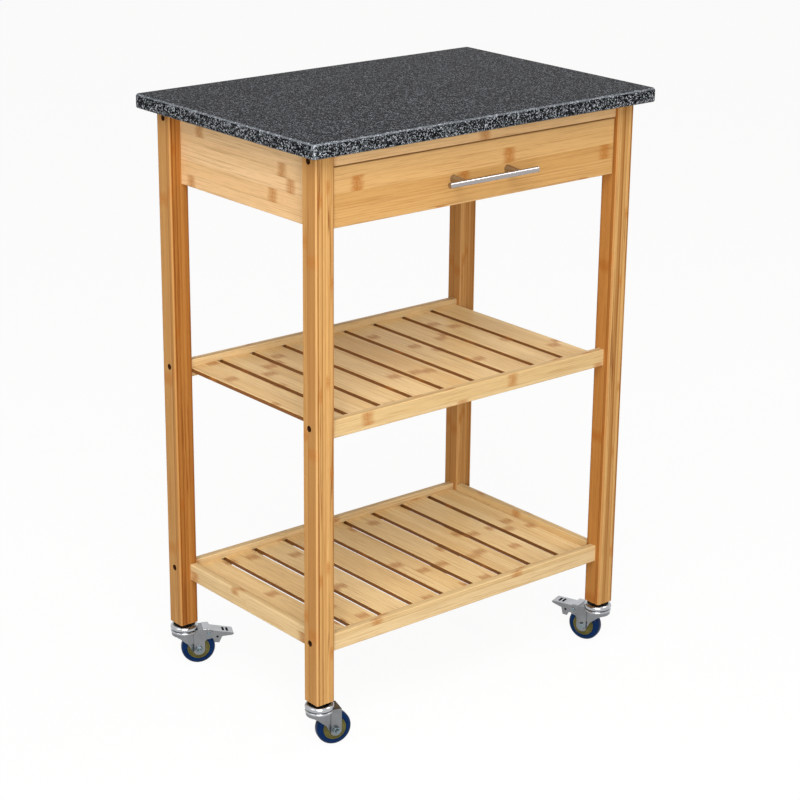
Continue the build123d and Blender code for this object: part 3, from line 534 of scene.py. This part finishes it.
def satin_steel():
    """Brushed steel, with its fine lines along the bar."""
    tint = bpy.context.scene.metal_finish.steel

    def build(graph, place, normal):
        brush = graph.grain(place, 25.0, 1500.0, 3.0, 0.6)
        wear = graph.use(surface_wear(), Vector=place, Roughness=0.27, Spread=0.06)
        return graph.mix(brush, [0.90 * value for value in tint], tint), wear["Roughness"], brush

    return surface("Satin steel", (0.05, 0.0001), build, Metallic=1.0)


def moulded(kind):
    """Plastic and rubber, or painted shade in a drilled hole or a pedal's slots, with a faint mottle."""
    name, roughness, ior, settings = MOULDED[kind]
    tint = getattr(getattr(bpy.context.scene, settings), kind)

    def build(graph, place, normal):
        wear = graph.use(surface_wear(), Vector=place, Roughness=roughness, Spread=0.14)
        dusty = [min(1.0, value * 1.5 + 0.0015) for value in tint]
        body = graph.mix(wear["Smear"].ramp(0.45, 0.75), tint, dusty)
        return body, wear["Roughness"], wear["Height"]

    return surface(name, (0.12, 0.0003), build, IOR=ior)


def painted(piece, *materials):
    piece.data.materials.clear()
    for material in materials:
        piece.data.materials.append(material)
    return piece


def marked(piece, index, test):
    """Gives the faces whose centre and normal pass the test another of the piece's finishes."""
    for face in piece.data.polygons:
        if test(face.center, face.normal):
            face.material_index = index


# Ways to make and finish a piece
def only(piece):
    """Makes the piece the only selected object and the active one."""
    if bpy.context.mode != "OBJECT":
        bpy.ops.object.mode_set(mode="OBJECT")
    bpy.ops.object.select_all(action="DESELECT")
    piece.hide_set(False)
    piece.select_set(True)
    bpy.context.view_layer.objects.active = piece


def editing(piece, kind="FACE"):
    """Opens the piece in edit mode with nothing selected."""
    only(piece)
    bpy.ops.object.mode_set(mode="EDIT")
    bpy.ops.mesh.select_mode(type=kind)
    bpy.ops.mesh.select_all(action="DESELECT")


def pick(piece, kind, test):
    """Selects just the faces or edges that pass the test."""
    mesh = bmesh.from_edit_mesh(piece.data)
    for element in (*mesh.verts, *mesh.edges, *mesh.faces):
        element.select = False
    for element in getattr(mesh, kind):
        if test(element):
            element.select_set(True)
    mesh.select_flush_mode()
    bmesh.update_edit_mesh(piece.data)


def pick_faces(piece, test):
    """Selects just the faces whose centre and normal pass the test."""
    pick(piece, "faces", lambda face: test(face.calc_center_median(), face.normal))


def pick_edges(piece, test):
    """Selects just the edges whose two ends pass the test."""
    pick(piece, "edges", lambda edge: test(edge.verts[0].co, edge.verts[1].co))


def fixed(piece):
    """Makes the piece's place, turn and size those of its mesh."""
    bpy.ops.object.transform_apply()
    return piece


def started(name):
    """The primitive that was just added, under its name."""
    made = bpy.context.object
    made.name = made.data.name = name
    return made


def cylinder(name, radius, low, high, sides=64):
    """A cylinder on Z between two heights."""
    bpy.ops.object.select_all(action="DESELECT")
    bpy.ops.mesh.primitive_cylinder_add(
        vertices=sides, radius=radius, depth=high - low, location=(0, 0, (low + high) / 2)
    )
    return fixed(started(name))


def block(name, low, high):
    """A box between two corners."""
    low, high = Vector(low), Vector(high)
    bpy.ops.object.select_all(action="DESELECT")
    bpy.ops.mesh.primitive_cube_add(size=1.0, location=(low + high) / 2)
    made = started(name)
    made.scale = high - low
    return fixed(made)


def stepped(piece, up, radius, steps):
    """Turns rings into one end of a cylinder: each step gives the next radius and the rise along the end."""
    editing(piece)
    end = max if up else min
    height = end(vertex.co.z for vertex in bmesh.from_edit_mesh(piece.data).verts)
    pick_faces(piece, lambda centre, normal: abs(centre.z - height) < 1e-6 and abs(normal.z) > 0.9)
    for next_radius, rise in steps:
        bpy.ops.mesh.inset(thickness=radius - next_radius, depth=rise)
        radius = next_radius
    bpy.ops.object.mode_set(mode="OBJECT")


def in_mm(*steps):
    """Steps for a turned end that are written in millimetres."""
    return [(radius * MM, rise * MM) for radius, rise in steps]


def rounded(piece, width, segments=3, angle=35.0):
    """Rounds every edge that is sharper than the angle and shades the piece smooth."""
    only(piece)
    modifier = piece.modifiers.new("Edges", "BEVEL")
    modifier.width = width
    modifier.segments = segments
    modifier.limit_method = "ANGLE"
    modifier.angle_limit = math.radians(angle)
    bpy.ops.object.modifier_apply(modifier=modifier.name)
    bpy.ops.object.shade_smooth_by_angle(angle=math.radians(40))
    flat = piece.modifiers.new("Flat faces", "WEIGHTED_NORMAL")
    flat.keep_sharp = True
    bpy.ops.object.modifier_apply(modifier=flat.name)


def placed(piece, matrix):
    """Puts a piece where the matrix says and makes that its rest."""
    only(piece)
    piece.matrix_world = matrix
    return fixed(piece)


def copied(piece, name):
    """A copy with its own mesh."""
    made = piece.copy()
    made.data = piece.data.copy()
    made.name = made.data.name = name
    bpy.context.scene.collection.objects.link(made)
    return made


def joined(pieces, name):
    """One piece made of several."""
    only(pieces[0])
    for piece in pieces:
        piece.select_set(True)
    bpy.ops.object.join()
    pieces[0].name = pieces[0].data.name = name
    return pieces[0]


def shell_of(node, name):
    """A merged copy of a node of the frame, with its flat faces whole again."""
    made = copied(frame["nodes"][node], name)
    made.parent = None
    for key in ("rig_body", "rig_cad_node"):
        if key in made:
            del made[key]
    only(made)
    made.data.materials.clear()
    bpy.ops.mesh.customdata_custom_splitnormals_clear()
    bpy.ops.object.mode_set(mode="EDIT")
    bpy.ops.mesh.select_all(action="SELECT")
    bpy.ops.mesh.remove_doubles(threshold=0.002 * MM)
    bpy.ops.mesh.dissolve_limited(angle_limit=math.radians(0.6))
    bpy.ops.mesh.normals_make_consistent(inside=False)
    bpy.ops.object.mode_set(mode="OBJECT")
    return made


def stands_for(piece, body, slot, *nodes):
    """Rides the piece on its body, in the place of the nodes."""
    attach(piece, body)
    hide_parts(*nodes)
    return piece


def softened(node, body, slot, width, material, segments=2):
    """A node's shape with its edges rounded, in its finish."""
    piece = shell_of(node, node + "_finished")
    rounded(piece, width, segments)
    return stands_for(painted(piece, material), body, slot, node)


def deburred(node, kind, body="cart_frame", segments=2):
    """A metal piece with its edges rounded as usual."""
    width = bpy.context.scene.metal_finish.edge
    return softened(node, body, "zinc_steel", width, metal(kind), segments)


def sanded(nodes, part, order, share=1.0, body="cart_frame"):
    """Bamboo pieces with their edges rounded by a share of the usual rounding."""
    width = bpy.context.scene.bamboo_finish.edge * share
    return [softened(node, body, "bamboo", width, bamboo(part, order)) for node in nodes]


# Where the connector screws, casters, wheels and pedals are
SCREW_HEAD_RADIUS = 4.25 * MM
SCREW_BELOW_RAIL_TOP = 5.0 * MM


def screw_lines():
    """The distances from the middle of the two lines of connector screws, front and back."""
    low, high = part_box("frame_screws")
    return (low.y + SCREW_HEAD_RADIUS, high.y - SCREW_HEAD_RADIUS)


def screw_heights():
    """The heights of the three rows of connector screws."""
    low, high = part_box("frame_screws")
    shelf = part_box("middle_shelf_front_rail")[1].z - SCREW_BELOW_RAIL_TOP
    return (low.z + SCREW_HEAD_RADIUS, shelf, high.z - SCREW_HEAD_RADIUS)


def caster_matrix(corner):
    """From a caster's own axes, with X towards its wheel, to where it stands at rest."""
    across = Vector(JOINTS["wheel_spin_" + corner]["axis"])
    ahead = across.cross(Vector((0, 0, 1)))
    turn = Matrix((ahead, across, Vector((0, 0, 1)))).transposed().to_4x4()
    foot = Vector(JOINTS["caster_swivel_" + corner]["pos_m"])
    return Matrix.Translation((foot.x, foot.y, 0)) @ turn


def axle_matrix(corner):
    """From a piece turned on Z to the same piece on the wheel's axle."""
    centre = Vector(JOINTS["wheel_spin_" + corner]["pos_m"])
    turn = caster_matrix(corner).to_3x3().to_4x4()
    return Matrix.Translation(centre) @ turn @ Matrix.Rotation(math.radians(-90), 4, "X")


def on_axles(model, name, slot, node):
    """Puts a copy of a wheel's part on each axle, in the place of the wheel's node."""
    for corner in CORNERS:
        part = placed(copied(model, name + corner), axle_matrix(corner))
        stands_for(part, "wheel_" + corner, slot, node + corner)
    bpy.data.objects.remove(model)


def pedal_matrix(corner):
    """From a pedal's own axes, with its tread level, to how far it is pressed at rest."""
    joint = JOINTS["brake_pedal_press_" + corner]
    caster = caster_matrix(corner)
    pivot = caster.inverted() @ Vector(joint["pos_m"])
    pressed = Matrix.Rotation(math.radians(-min(0.0, joint["range_deg"][0])), 4, "Y")
    return caster @ Matrix.Translation(pivot) @ pressed @ Matrix.Translation(-pivot)


# Operators: the stage, then each piece or group of like pieces
class CART_OT_stage(bpy.types.Operator):
    """Set up the floor, the soft studio light and the camera"""

    bl_idname = "kitchen_cart.stage"
    bl_label = "Stage and camera"

    white = (1.0, 1.0, 1.0)
    warm_floor = (0.50, 0.45, 0.38)
    warm_sky = (1.0, 0.89, 0.74)

    def execute(self, context):
        look = context.scene.cart_view
        self.add_camera(context, look)
        self.add_floor()
        self.add_sky(context, look)
        for name, place, size, power in (
            ("Key light", (-1.6, -1.9, 3.0), 2.0, look.key_power),
            ("Fill light", (-2.0, -2.6, 1.0), 1.6, look.fill_power),
            ("Side light", (-3.0, 0.2, 2.55), 1.8, look.side_power),
            ("Rim light", (1.7, -0.8, 2.65), 0.7, look.rim_power),
        ):
            self.add_lamp(name, Vector(place), size, power)
        context.scene.view_settings.view_transform = "Standard"
        return {"FINISHED"}

    def add_camera(self, context, look):
        camera = bpy.data.cameras.new("Camera")
        camera.sensor_width = 36.0
        camera.lens = look.lens
        camera.clip_start = 0.05
        camera.clip_end = 60.0
        holder = bpy.data.objects.new("Camera", camera)
        context.scene.collection.objects.link(holder)
        flat = math.cos(look.elevation)
        back = Vector((
            math.sin(look.azimuth) * flat, -math.cos(look.azimuth) * flat, math.sin(look.elevation)
        ))
        turn = (-back).to_track_quat("-Z", "Y").to_matrix().to_4x4() @ Matrix.Rotation(look.roll, 4, "Z")
        holder.matrix_world = Matrix.Translation(look.place) @ turn
        context.scene.camera = holder

    def seen(self, path):
        """1 where the camera sees the background, by itself, in a reflection or through glass."""
        return path["Is Camera Ray"].larger(path["Is Glossy Ray"]).larger(path["Is Transmission Ray"])

    def add_floor(self):
        """A floor that looks white, keeps the cart's shadow and gives back a warm light."""
        bpy.ops.object.select_all(action="DESELECT")
        bpy.ops.mesh.primitive_plane_add(size=40.0, location=(0, 0, -0.2 * MM))
        floor = started("Floor")
        made = bpy.data.materials.new("Pale floor")
        made.use_nodes = True
        nodes = made.node_tree.nodes
        nodes.remove(nodes["Principled BSDF"])
        graph = Graph(made.node_tree)
        path = graph.values("ShaderNodeLightPath")
        share = self.seen(path) * 0.94
        tint = graph.mix(path["Is Camera Ray"], self.warm_floor, self.white)
        shaded = graph.value("ShaderNodeBsdfDiffuse", {"Color": tint})
        glow = graph.value("ShaderNodeEmission", {"Color": self.white, "Strength": 1.0})
        both = graph.value("ShaderNodeMixShader", {0: share, 1: shaded, 2: glow})
        graph.give(nodes["Material Output"].inputs["Surface"], both)
        painted(floor, made)

    def add_sky(self, context, look):
        """An even warm light from all round, which looks white itself."""
        world = bpy.data.worlds.new("Studio")
        context.scene.world = world
        world.use_nodes = True
        nodes = world.node_tree.nodes
        graph = Graph(world.node_tree)
        seen = self.seen(graph.values("ShaderNodeLightPath"))
        nodes.remove(nodes["Background"])
        warm = graph.value("ShaderNodeBackground", {"Color": self.warm_sky, "Strength": look.sky})
        white = graph.value("ShaderNodeBackground", {"Color": self.white, "Strength": 1.0})
        both = graph.value("ShaderNodeMixShader", {0: seen, 1: warm, 2: white})
        graph.give(nodes["World Output"].inputs["Surface"], both)

    def add_lamp(self, name, place, size, power):
        """A square lamp that is turned towards the cart's middle."""
        lamp = bpy.data.lights.new(name, "AREA")
        lamp.shape = "SQUARE"
        lamp.size = size
        lamp.energy = power
        holder = bpy.data.objects.new(name, lamp)
        bpy.context.scene.collection.objects.link(holder)
        aim = Vector((0, 0, 0.45)) - place
        holder.matrix_world = Matrix.Translation(place) @ aim.to_track_quat("-Z", "Y").to_matrix().to_4x4()


class CART_OT_worktop(bpy.types.Operator):
    """Finish the stone slab"""

    bl_idname = "kitchen_cart.worktop"
    bl_label = "Stone worktop"

    def execute(self, context):
        slab = shell_of("worktop", "stone_slab")
        rounded(slab, 1.2 * MM, 3, 25.0)
        stands_for(painted(slab, granite()), "cart_frame", "granite", "worktop")
        return {"FINISHED"}


class CART_OT_frame(bpy.types.Operator):
    """Finish the legs, side panels, back panel and rails"""

    bl_idname = "kitchen_cart.frame"
    bl_label = "Bamboo frame"

    def execute(self, context):
        line, heights = screw_lines()[1], screw_heights()
        for leg in sanded(["leg_" + corner for corner in CORNERS], "leg", "ZYX"):
            # The holes' walls and floors get a dark colour: painted shade
            leg.data.materials.append(moulded("hole"))
            marked(leg, 1, lambda centre, normal: self.in_hole(centre, line, heights))
        sanded(("side_apron_left", "side_apron_right"), "panel", "YZX")
        sanded(("back_apron", "front_top_rail"), "panel", "XZY")
        sanded(("bottom_shelf_left_rail", "bottom_shelf_right_rail"), "rail", "YZX")
        painted(frame["nodes"]["frame_dowels"], bamboo("leg", "ZYX"))
        return {"FINISHED"}

    def in_hole(self, centre, line, heights):
        """Whether a leg's face is a wall or the floor of a screw's hole."""
        hole_radius, floor, mouth = 4.8 * MM, 262.0 * MM, 279.9 * MM
        reach = min(math.hypot(abs(centre.y) - line, centre.z - height) for height in heights)
        return reach < hole_radius and floor < abs(centre.x) < mouth


class CART_OT_shelves(bpy.types.Operator):
    """Finish the slats of both shelves and the rails that hold them"""

    bl_idname = "kitchen_cart.shelves"
    bl_label = "Slatted shelves"

    def execute(self, context):
        for shelf in ("middle_shelf", "bottom_shelf"):
            sanded((shelf + "_front_rail", shelf + "_back_rail"), "rail", "XZY")
            for slats in sanded((shelf + "_slats",), "shelf", "YXZ", 0.6):
                # The slats' side faces in the gaps get a dark bamboo: painted shade
                slats.data.materials.append(bamboo("side", "YZX"))
                marked(slats, 1, lambda centre, normal: abs(normal.x) > 0.9)
        return {"FINISHED"}


class CART_OT_drawer(bpy.types.Operator):
    """Finish the drawer box, its front and the strips that it runs on"""

    bl_idname = "kitchen_cart.drawer"
    bl_label = "Drawer"

    def execute(self, context):
        sanded(("drawer_front",), "front", "XZY", body="drawer")
        sanded(("drawer_left_side", "drawer_right_side"), "panel", "YZX", 0.6, "drawer")
        sanded(("drawer_back",), "panel", "XZY", 0.6, "drawer")
        sanded(("drawer_bottom",), "panel", "XYZ", 0.4, "drawer")
        sanded(("drawer_guides",), "panel", "YZX", 0.6)
        sanded(("drawer_stops",), "panel", "YZX")
        return {"FINISHED"}


class CART_OT_handle(bpy.types.Operator):
    """Model the drawer's bar handle"""

    bl_idname = "kitchen_cart.handle"
    bl_label = "Handle"

    def execute(self, context):
        low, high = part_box("handle_bar")
        centre = (low + high) / 2
        self.bar(centre, (high.z - low.z) / 2, (high.x - low.x) / 2)
        self.posts(centre)
        return {"FINISHED"}

    def bar(self, centre, radius, half):
        bar = cylinder("handle_bar_turned", radius, -half, half)
        for up in (True, False):
            stepped(bar, up, radius, ((radius * 0.72, 0.0), (radius * 0.68, 0.0)))
        rounded(bar, 0.5 * MM)
        placed(bar, Matrix.Translation(centre) @ Matrix.Rotation(math.radians(90), 4, "Y"))
        stands_for(painted(bar, satin_steel()), "drawer", "satin_steel", "handle_bar")

    def posts(self, centre):
        """The two posts, tapered from their feet on the drawer front to the bar."""
        foot, foot_height, tip = 5.5 * MM, 0.8 * MM, 3.6 * MM
        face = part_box("drawer_front")[0].y
        reach = face - centre.y
        post = cylinder("handle_posts_turned", foot, 0.0, foot_height, 48)
        stepped(post, True, foot, ((5.3 * MM, 0.3 * MM), (tip, reach - 2.6 * MM)))
        rounded(post, 0.3 * MM, 2)
        low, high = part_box("handle_posts")
        lean = Matrix.Rotation(math.radians(90), 4, "X")
        posts = [
            placed(copied(post, "post"), Matrix.Translation((x, face, centre.z)) @ lean)
            for x in (low.x + foot, high.x - foot)
        ]
        bpy.data.objects.remove(post)
        pair = painted(joined(posts, "handle_posts_turned"), satin_steel())
        stands_for(pair, "drawer", "satin_steel", "handle_posts")


class CART_OT_screws(bpy.types.Operator):
    """Finish the screws, the brackets and the threaded sleeves"""

    bl_idname = "kitchen_cart.screws"
    bl_label = "Screws and brackets"

    def execute(self, context):
        deburred("worktop_brackets", "zinc")
        self.sunk_screws()
        deburred("handle_screws", "zinc", "drawer")
        deburred("small_screws", "zinc")
        painted(frame["nodes"]["leg_inserts"], metal("brass"))
        return {"FINISHED"}

    def sunk_screws(self):
        """The connector screws in the legs' holes, each with a round socket in its head."""
        head_height, shank_length = 4.0 * MM, 42.0 * MM
        model = cylinder("screw", SCREW_HEAD_RADIUS, -head_height, 0.0, 32)
        stepped(model, True, SCREW_HEAD_RADIUS, in_mm((2.3, 0.0), (2.2, -2.4)))
        stepped(model, False, SCREW_HEAD_RADIUS, ((2.5 * MM, 0.0), (2.45 * MM, shank_length)))
        rounded(model, 0.3 * MM, 2)
        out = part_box("frame_screws")[1].x
        screws = []
        for side in (-1, 1):
            turn = Matrix.Rotation(math.radians(90 * side), 4, "Y")
            for line in screw_lines():
                for height in screw_heights():
                    place = Matrix.Translation((side * out, line, height))
                    screws.append(placed(copied(model, "screw"), place @ turn))
        bpy.data.objects.remove(model)
        group = painted(joined(screws, "frame_screws_turned"), metal("screw"))
        stands_for(group, "cart_frame", "zinc_steel", "frame_screws")


# The radius at which a tyre sits on its core
TYRE_SEAT = 16.6 * MM


class CART_OT_tyres(bpy.types.Operator):
    """Model the four rounded tyres"""

    bl_idname = "kitchen_cart.tyres"
    bl_label = "Tyres"

    def execute(self, context):
        model = self.solid(context.scene.wheel_finish.crown, 25.0 * MM, 8.5 * MM)
        self.bore(model)
        only(model)
        bpy.ops.object.shade_smooth_by_angle(angle=math.radians(40))
        painted(model, moulded("tyre"))
        on_axles(model, "tyre_", "blue_tyre", "wheel_tyre_")
        return {"FINISHED"}

    def solid(self, crown, radius, half):
        """A rounded disc with the tyre's lips turned into both sides."""
        model = cylinder("tyre", radius, -half, half, 96)
        editing(model, "EDGE")
        pick_edges(model, lambda a, b: abs(abs(a.z) - half) < 1e-6 and abs(a.z - b.z) < 1e-6)
        bpy.ops.mesh.bevel(offset=crown, segments=8, profile=0.5)
        bpy.ops.object.mode_set(mode="OBJECT")
        lip = ((TYRE_SEAT + 0.9 * MM, 0.15 * MM), (TYRE_SEAT + 0.5 * MM, -0.5 * MM), (TYRE_SEAT, -0.4 * MM))
        for up in (True, False):
            stepped(model, up, radius - crown, lip)
        return model

    def bore(self, model):
        """Opens the disc's middle and closes the wall between its two rims."""
        editing(model)
        pick_faces(model, lambda centre, normal: math.hypot(centre.x, centre.y) < 1e-4)
        bpy.ops.mesh.delete(type="FACE")
        bpy.ops.mesh.select_mode(type="EDGE")
        pick_edges(model, lambda a, b: abs(math.hypot(a.x, a.y) - TYRE_SEAT) < 2e-5 and a.z * b.z > 0)
        bpy.ops.mesh.bridge_edge_loops()
        bpy.ops.mesh.select_all(action="SELECT")
        bpy.ops.mesh.normals_make_consistent(inside=False)
        bpy.ops.object.mode_set(mode="OBJECT")


class CART_OT_cores(bpy.types.Operator):
    """Model the wheel cores inside the tyres"""

    bl_idname = "kitchen_cart.cores"
    bl_label = "Wheel cores"

    def execute(self, context):
        dish = context.scene.wheel_finish.dish
        half, hub_half, rim_rise, shoulder = 7.6 * MM, 10.6 * MM, 0.3 * MM, 0.6 * MM
        hub_rise = hub_half - half - rim_rise - shoulder
        model = cylinder("core", TYRE_SEAT, -half, half, 72)
        for up in (True, False):
            stepped(model, up, TYRE_SEAT, (
                (14.9 * MM, rim_rise), (14.3 * MM, -dish), (9.6 * MM, 0.0), (8.6 * MM, dish + shoulder),
                (8.0 * MM, hub_rise), (3.1 * MM, 0.0), (3.05 * MM, -2.0 * MM),
            ))
        rounded(model, 0.35 * MM, 2)
        painted(model, moulded("core"))
        on_axles(model, "core_", "olive_core", "wheel_hub_")
        return {"FINISHED"}


class CART_OT_forks(bpy.types.Operator):
    """Model the stamped forks with their rolled skirts"""

    bl_idname = "kitchen_cart.forks"
    bl_label = "Caster forks"

    def execute(self, context):
        for corner in CORNERS:
            fork = shell_of("caster_fork_" + corner, "fork_" + corner)
            rounded(fork, context.scene.metal_finish.edge)
            painted(fork, metal("zinc"))
            parts = [fork, self.bead(corner)]
            if corner in BRAKED:
                parts += self.bridge(corner)
            fork = joined(parts, "fork_" + corner)
            stands_for(fork, "caster_" + corner, "zinc_steel", "caster_fork_" + corner)
        return {"FINISHED"}

    def bead(self, corner):
        """The ring that the ball race presses out of the fork, under its cap, in zinc lightened as painted
        highlight.
        """
        bpy.ops.object.select_all(action="DESELECT")
        bpy.ops.mesh.primitive_torus_add(
            major_radius=18.2 * MM, minor_radius=1.8 * MM, major_segments=72, minor_segments=20,
            location=(0, 0, 53.7 * MM),
        )
        ring = fixed(bpy.context.object)
        bpy.ops.object.shade_smooth()
        painted(ring, metal("bright_zinc"))
        return placed(ring, caster_matrix(corner))

    def bridge(self, corner):
        """The strap from the crown over the pedal's pivot, with its two sides; the strap's top is in zinc
        lightened as painted highlight.
        """
        front, back = 26.0 * MM, 36.5 * MM
        inside, outside = 11.0 * MM, 12.9 * MM
        strap_low, strap_high = 55.5 * MM, 56.9 * MM
        side_low, side_high = 50.5 * MM, 56.4 * MM
        made = [block("strap", (front, -outside, strap_low), (back, outside, strap_high))]
        for near, far in ((-outside, -inside), (inside, outside)):
            made.append(block("strap", (front + 1.0 * MM, near, side_low), (back, far, side_high)))
        for piece in made:
            rounded(piece, 0.6 * MM)
            painted(piece, metal("bright_zinc" if piece is made[0] else "zinc"))
            placed(piece, caster_matrix(corner))
        return made


class CART_OT_race_caps(bpy.types.Operator):
    """Model the rolled rings on top of the forks"""

    bl_idname = "kitchen_cart.race_caps"
    bl_label = "Race caps"

    def execute(self, context):
        radius, seal_and_shade_radius, seal_and_shade_low = 20.3 * MM, 15.9 * MM, 58.0 * MM
        model = cylinder("cap", radius, 58.8 * MM, 60.6 * MM, 72)
        stepped(model, True, radius, in_mm(
            (19.9, 1.2), (18.9, 1.1), (17.6, 0.8), (16.4, 0.2), (15.6, -0.6), (15.2, -2.2), (9.4, 0.0),
            (9.1, 2.6),
        ))
        stepped(model, False, radius, in_mm((19.8, 1.1), (18.9, 0.9)))
        rounded(model, 0.5 * MM, 2, 25.0)
        # The cap is in zinc lightened as painted highlight
        painted(model, metal("bright_zinc"), moulded("plastic"))
        # The recess inside the cap's rim is black: a dust seal, and painted shade in the recess
        marked(model, 1, lambda centre, normal: (
            math.hypot(centre.x, centre.y) < seal_and_shade_radius and centre.z > seal_and_shade_low
        ))
        caps = [placed(copied(model, "cap"), caster_matrix(corner)) for corner in CORNERS]
        bpy.data.objects.remove(model)
        stands_for(joined(caps, "race_caps"), "cart_frame", "zinc_steel", "caster_race_caps")
        deburred("caster_stems", "screw")
        return {"FINISHED"}


class CART_OT_axles(bpy.types.Operator):
    """Finish the axle bolts and nuts"""

    bl_idname = "kitchen_cart.axles"
    bl_label = "Axle bolts and nuts"

    def execute(self, context):
        for corner in CORNERS:
            for part in ("axle_bolt_", "axle_nut_"):
                softened(part + corner, "caster_" + corner, "zinc_steel", 0.5 * MM, metal("zinc_bolt"), 3)
        return {"FINISHED"}


class CART_OT_brakes(bpy.types.Operator):
    """Finish the brake pedals, their rivets and pads"""

    bl_idname = "kitchen_cart.brakes"
    bl_label = "Brakes"

    # Along the pedal from the caster's axis: the walls of its two slots, and where its tread starts
    slots = ((54.9 * MM, 57.1 * MM), (60.9 * MM, 63.1 * MM))
    tread = 50.0 * MM
    widened = 0.7 * MM

    def execute(self, context):
        edge = context.scene.metal_finish.edge
        for corner in BRAKED:
            self.pedal(corner)
            deburred("pedal_rivet_" + corner, "zinc_bolt", "caster_" + corner, 3)
            softened("brake_pad_" + corner, "pedal_" + corner, "black_plastic", edge, moulded("plastic"), 3)
        return {"FINISHED"}

    def pedal(self, corner):
        """The pedal, with its two slots widened and painted shade inside them: black walls and a black sheet
        beneath.
        """
        node = "brake_pedal_" + corner
        own = pedal_matrix(corner)
        back = own.inverted()
        turned_back = back.to_3x3()

        def in_own(test):
            return lambda centre, normal: test(back @ centre, turned_back @ normal)

        piece = shell_of(node, node + "_finished")
        for slot in self.slots:
            for wall, push in zip(slot, (-1, 1)):
                editing(piece)
                pick_faces(piece, in_own(lambda centre, normal: (
                    abs(centre.x - wall) < 0.1 * MM and abs(centre.y) < 1.0 * MM and normal.x * push < -0.9
                )))
                bpy.ops.transform.translate(value=own.to_3x3() @ Vector((push * self.widened, 0, 0)))
                bpy.ops.object.mode_set(mode="OBJECT")
        rounded(piece, 0.35 * MM)
        painted(piece, metal("zinc"), moulded("plastic"), metal("bright_zinc"))
        # The slots' walls are black: painted shade
        marked(piece, 1, in_own(lambda centre, normal: (
            54.0 * MM < centre.x < 64.0 * MM and abs(centre.y) < 6.1 * MM and abs(normal.z) < 0.4
        )))
        # The tread's top faces are lighter: painted highlight
        marked(piece, 2, in_own(lambda centre, normal: centre.x > self.tread and normal.z > 0.4))
        # A black sheet under the slots, where there is only shade: painted shade
        shade = block("pedal_floor", (53.2 * MM, -6.4 * MM, 52.1 * MM), (64.8 * MM, 6.4 * MM, 52.7 * MM))
        painted(shade, moulded("plastic"))
        piece = joined([piece, placed(shade, own)], node + "_finished")
        stands_for(piece, "pedal_" + corner, "zinc_steel", node)


OPERATORS = (
    CART_OT_stage,
    CART_OT_worktop,
    CART_OT_frame,
    CART_OT_shelves,
    CART_OT_drawer,
    CART_OT_handle,
    CART_OT_screws,
    CART_OT_tyres,
    CART_OT_cores,
    CART_OT_forks,
    CART_OT_race_caps,
    CART_OT_axles,
    CART_OT_brakes,
)


class CART_PT_panel(bpy.types.Panel):
    """The cart's steps and settings"""

    bl_label = "Kitchen Cart"
    bl_idname = "CART_PT_panel"
    bl_space_type = "VIEW_3D"
    bl_region_type = "UI"
    bl_category = "Kitchen Cart"

    def draw(self, context):
        column = self.layout.column(align=True)
        for operator in OPERATORS:
            column.operator(operator.bl_idname)
        for name, group in GROUPS.items():
            box = self.layout.box()
            settings = getattr(context.scene, name)
            for key in group.__annotations__:
                box.prop(settings, key)


def register():
    for name, group in GROUPS.items():
        bpy.utils.register_class(group)
        setattr(bpy.types.Scene, name, bpy.props.PointerProperty(type=group))
    for item in (*OPERATORS, CART_PT_panel):
        bpy.utils.register_class(item)


def unregister():
    for item in (CART_PT_panel, *reversed(OPERATORS)):
        bpy.utils.unregister_class(item)
    for name, group in reversed(GROUPS.items()):
        delattr(bpy.types.Scene, name)
        bpy.utils.unregister_class(group)


def main():
    register()
    bpy.ops.kitchen_cart.stage()
    bpy.ops.kitchen_cart.worktop()
    bpy.ops.kitchen_cart.frame()
    bpy.ops.kitchen_cart.shelves()
    bpy.ops.kitchen_cart.drawer()
    bpy.ops.kitchen_cart.handle()
    bpy.ops.kitchen_cart.screws()
    bpy.ops.kitchen_cart.tyres()
    bpy.ops.kitchen_cart.cores()
    bpy.ops.kitchen_cart.forks()
    bpy.ops.kitchen_cart.race_caps()
    bpy.ops.kitchen_cart.axles()
    bpy.ops.kitchen_cart.brakes()


if __name__ == "__main__":
    main()
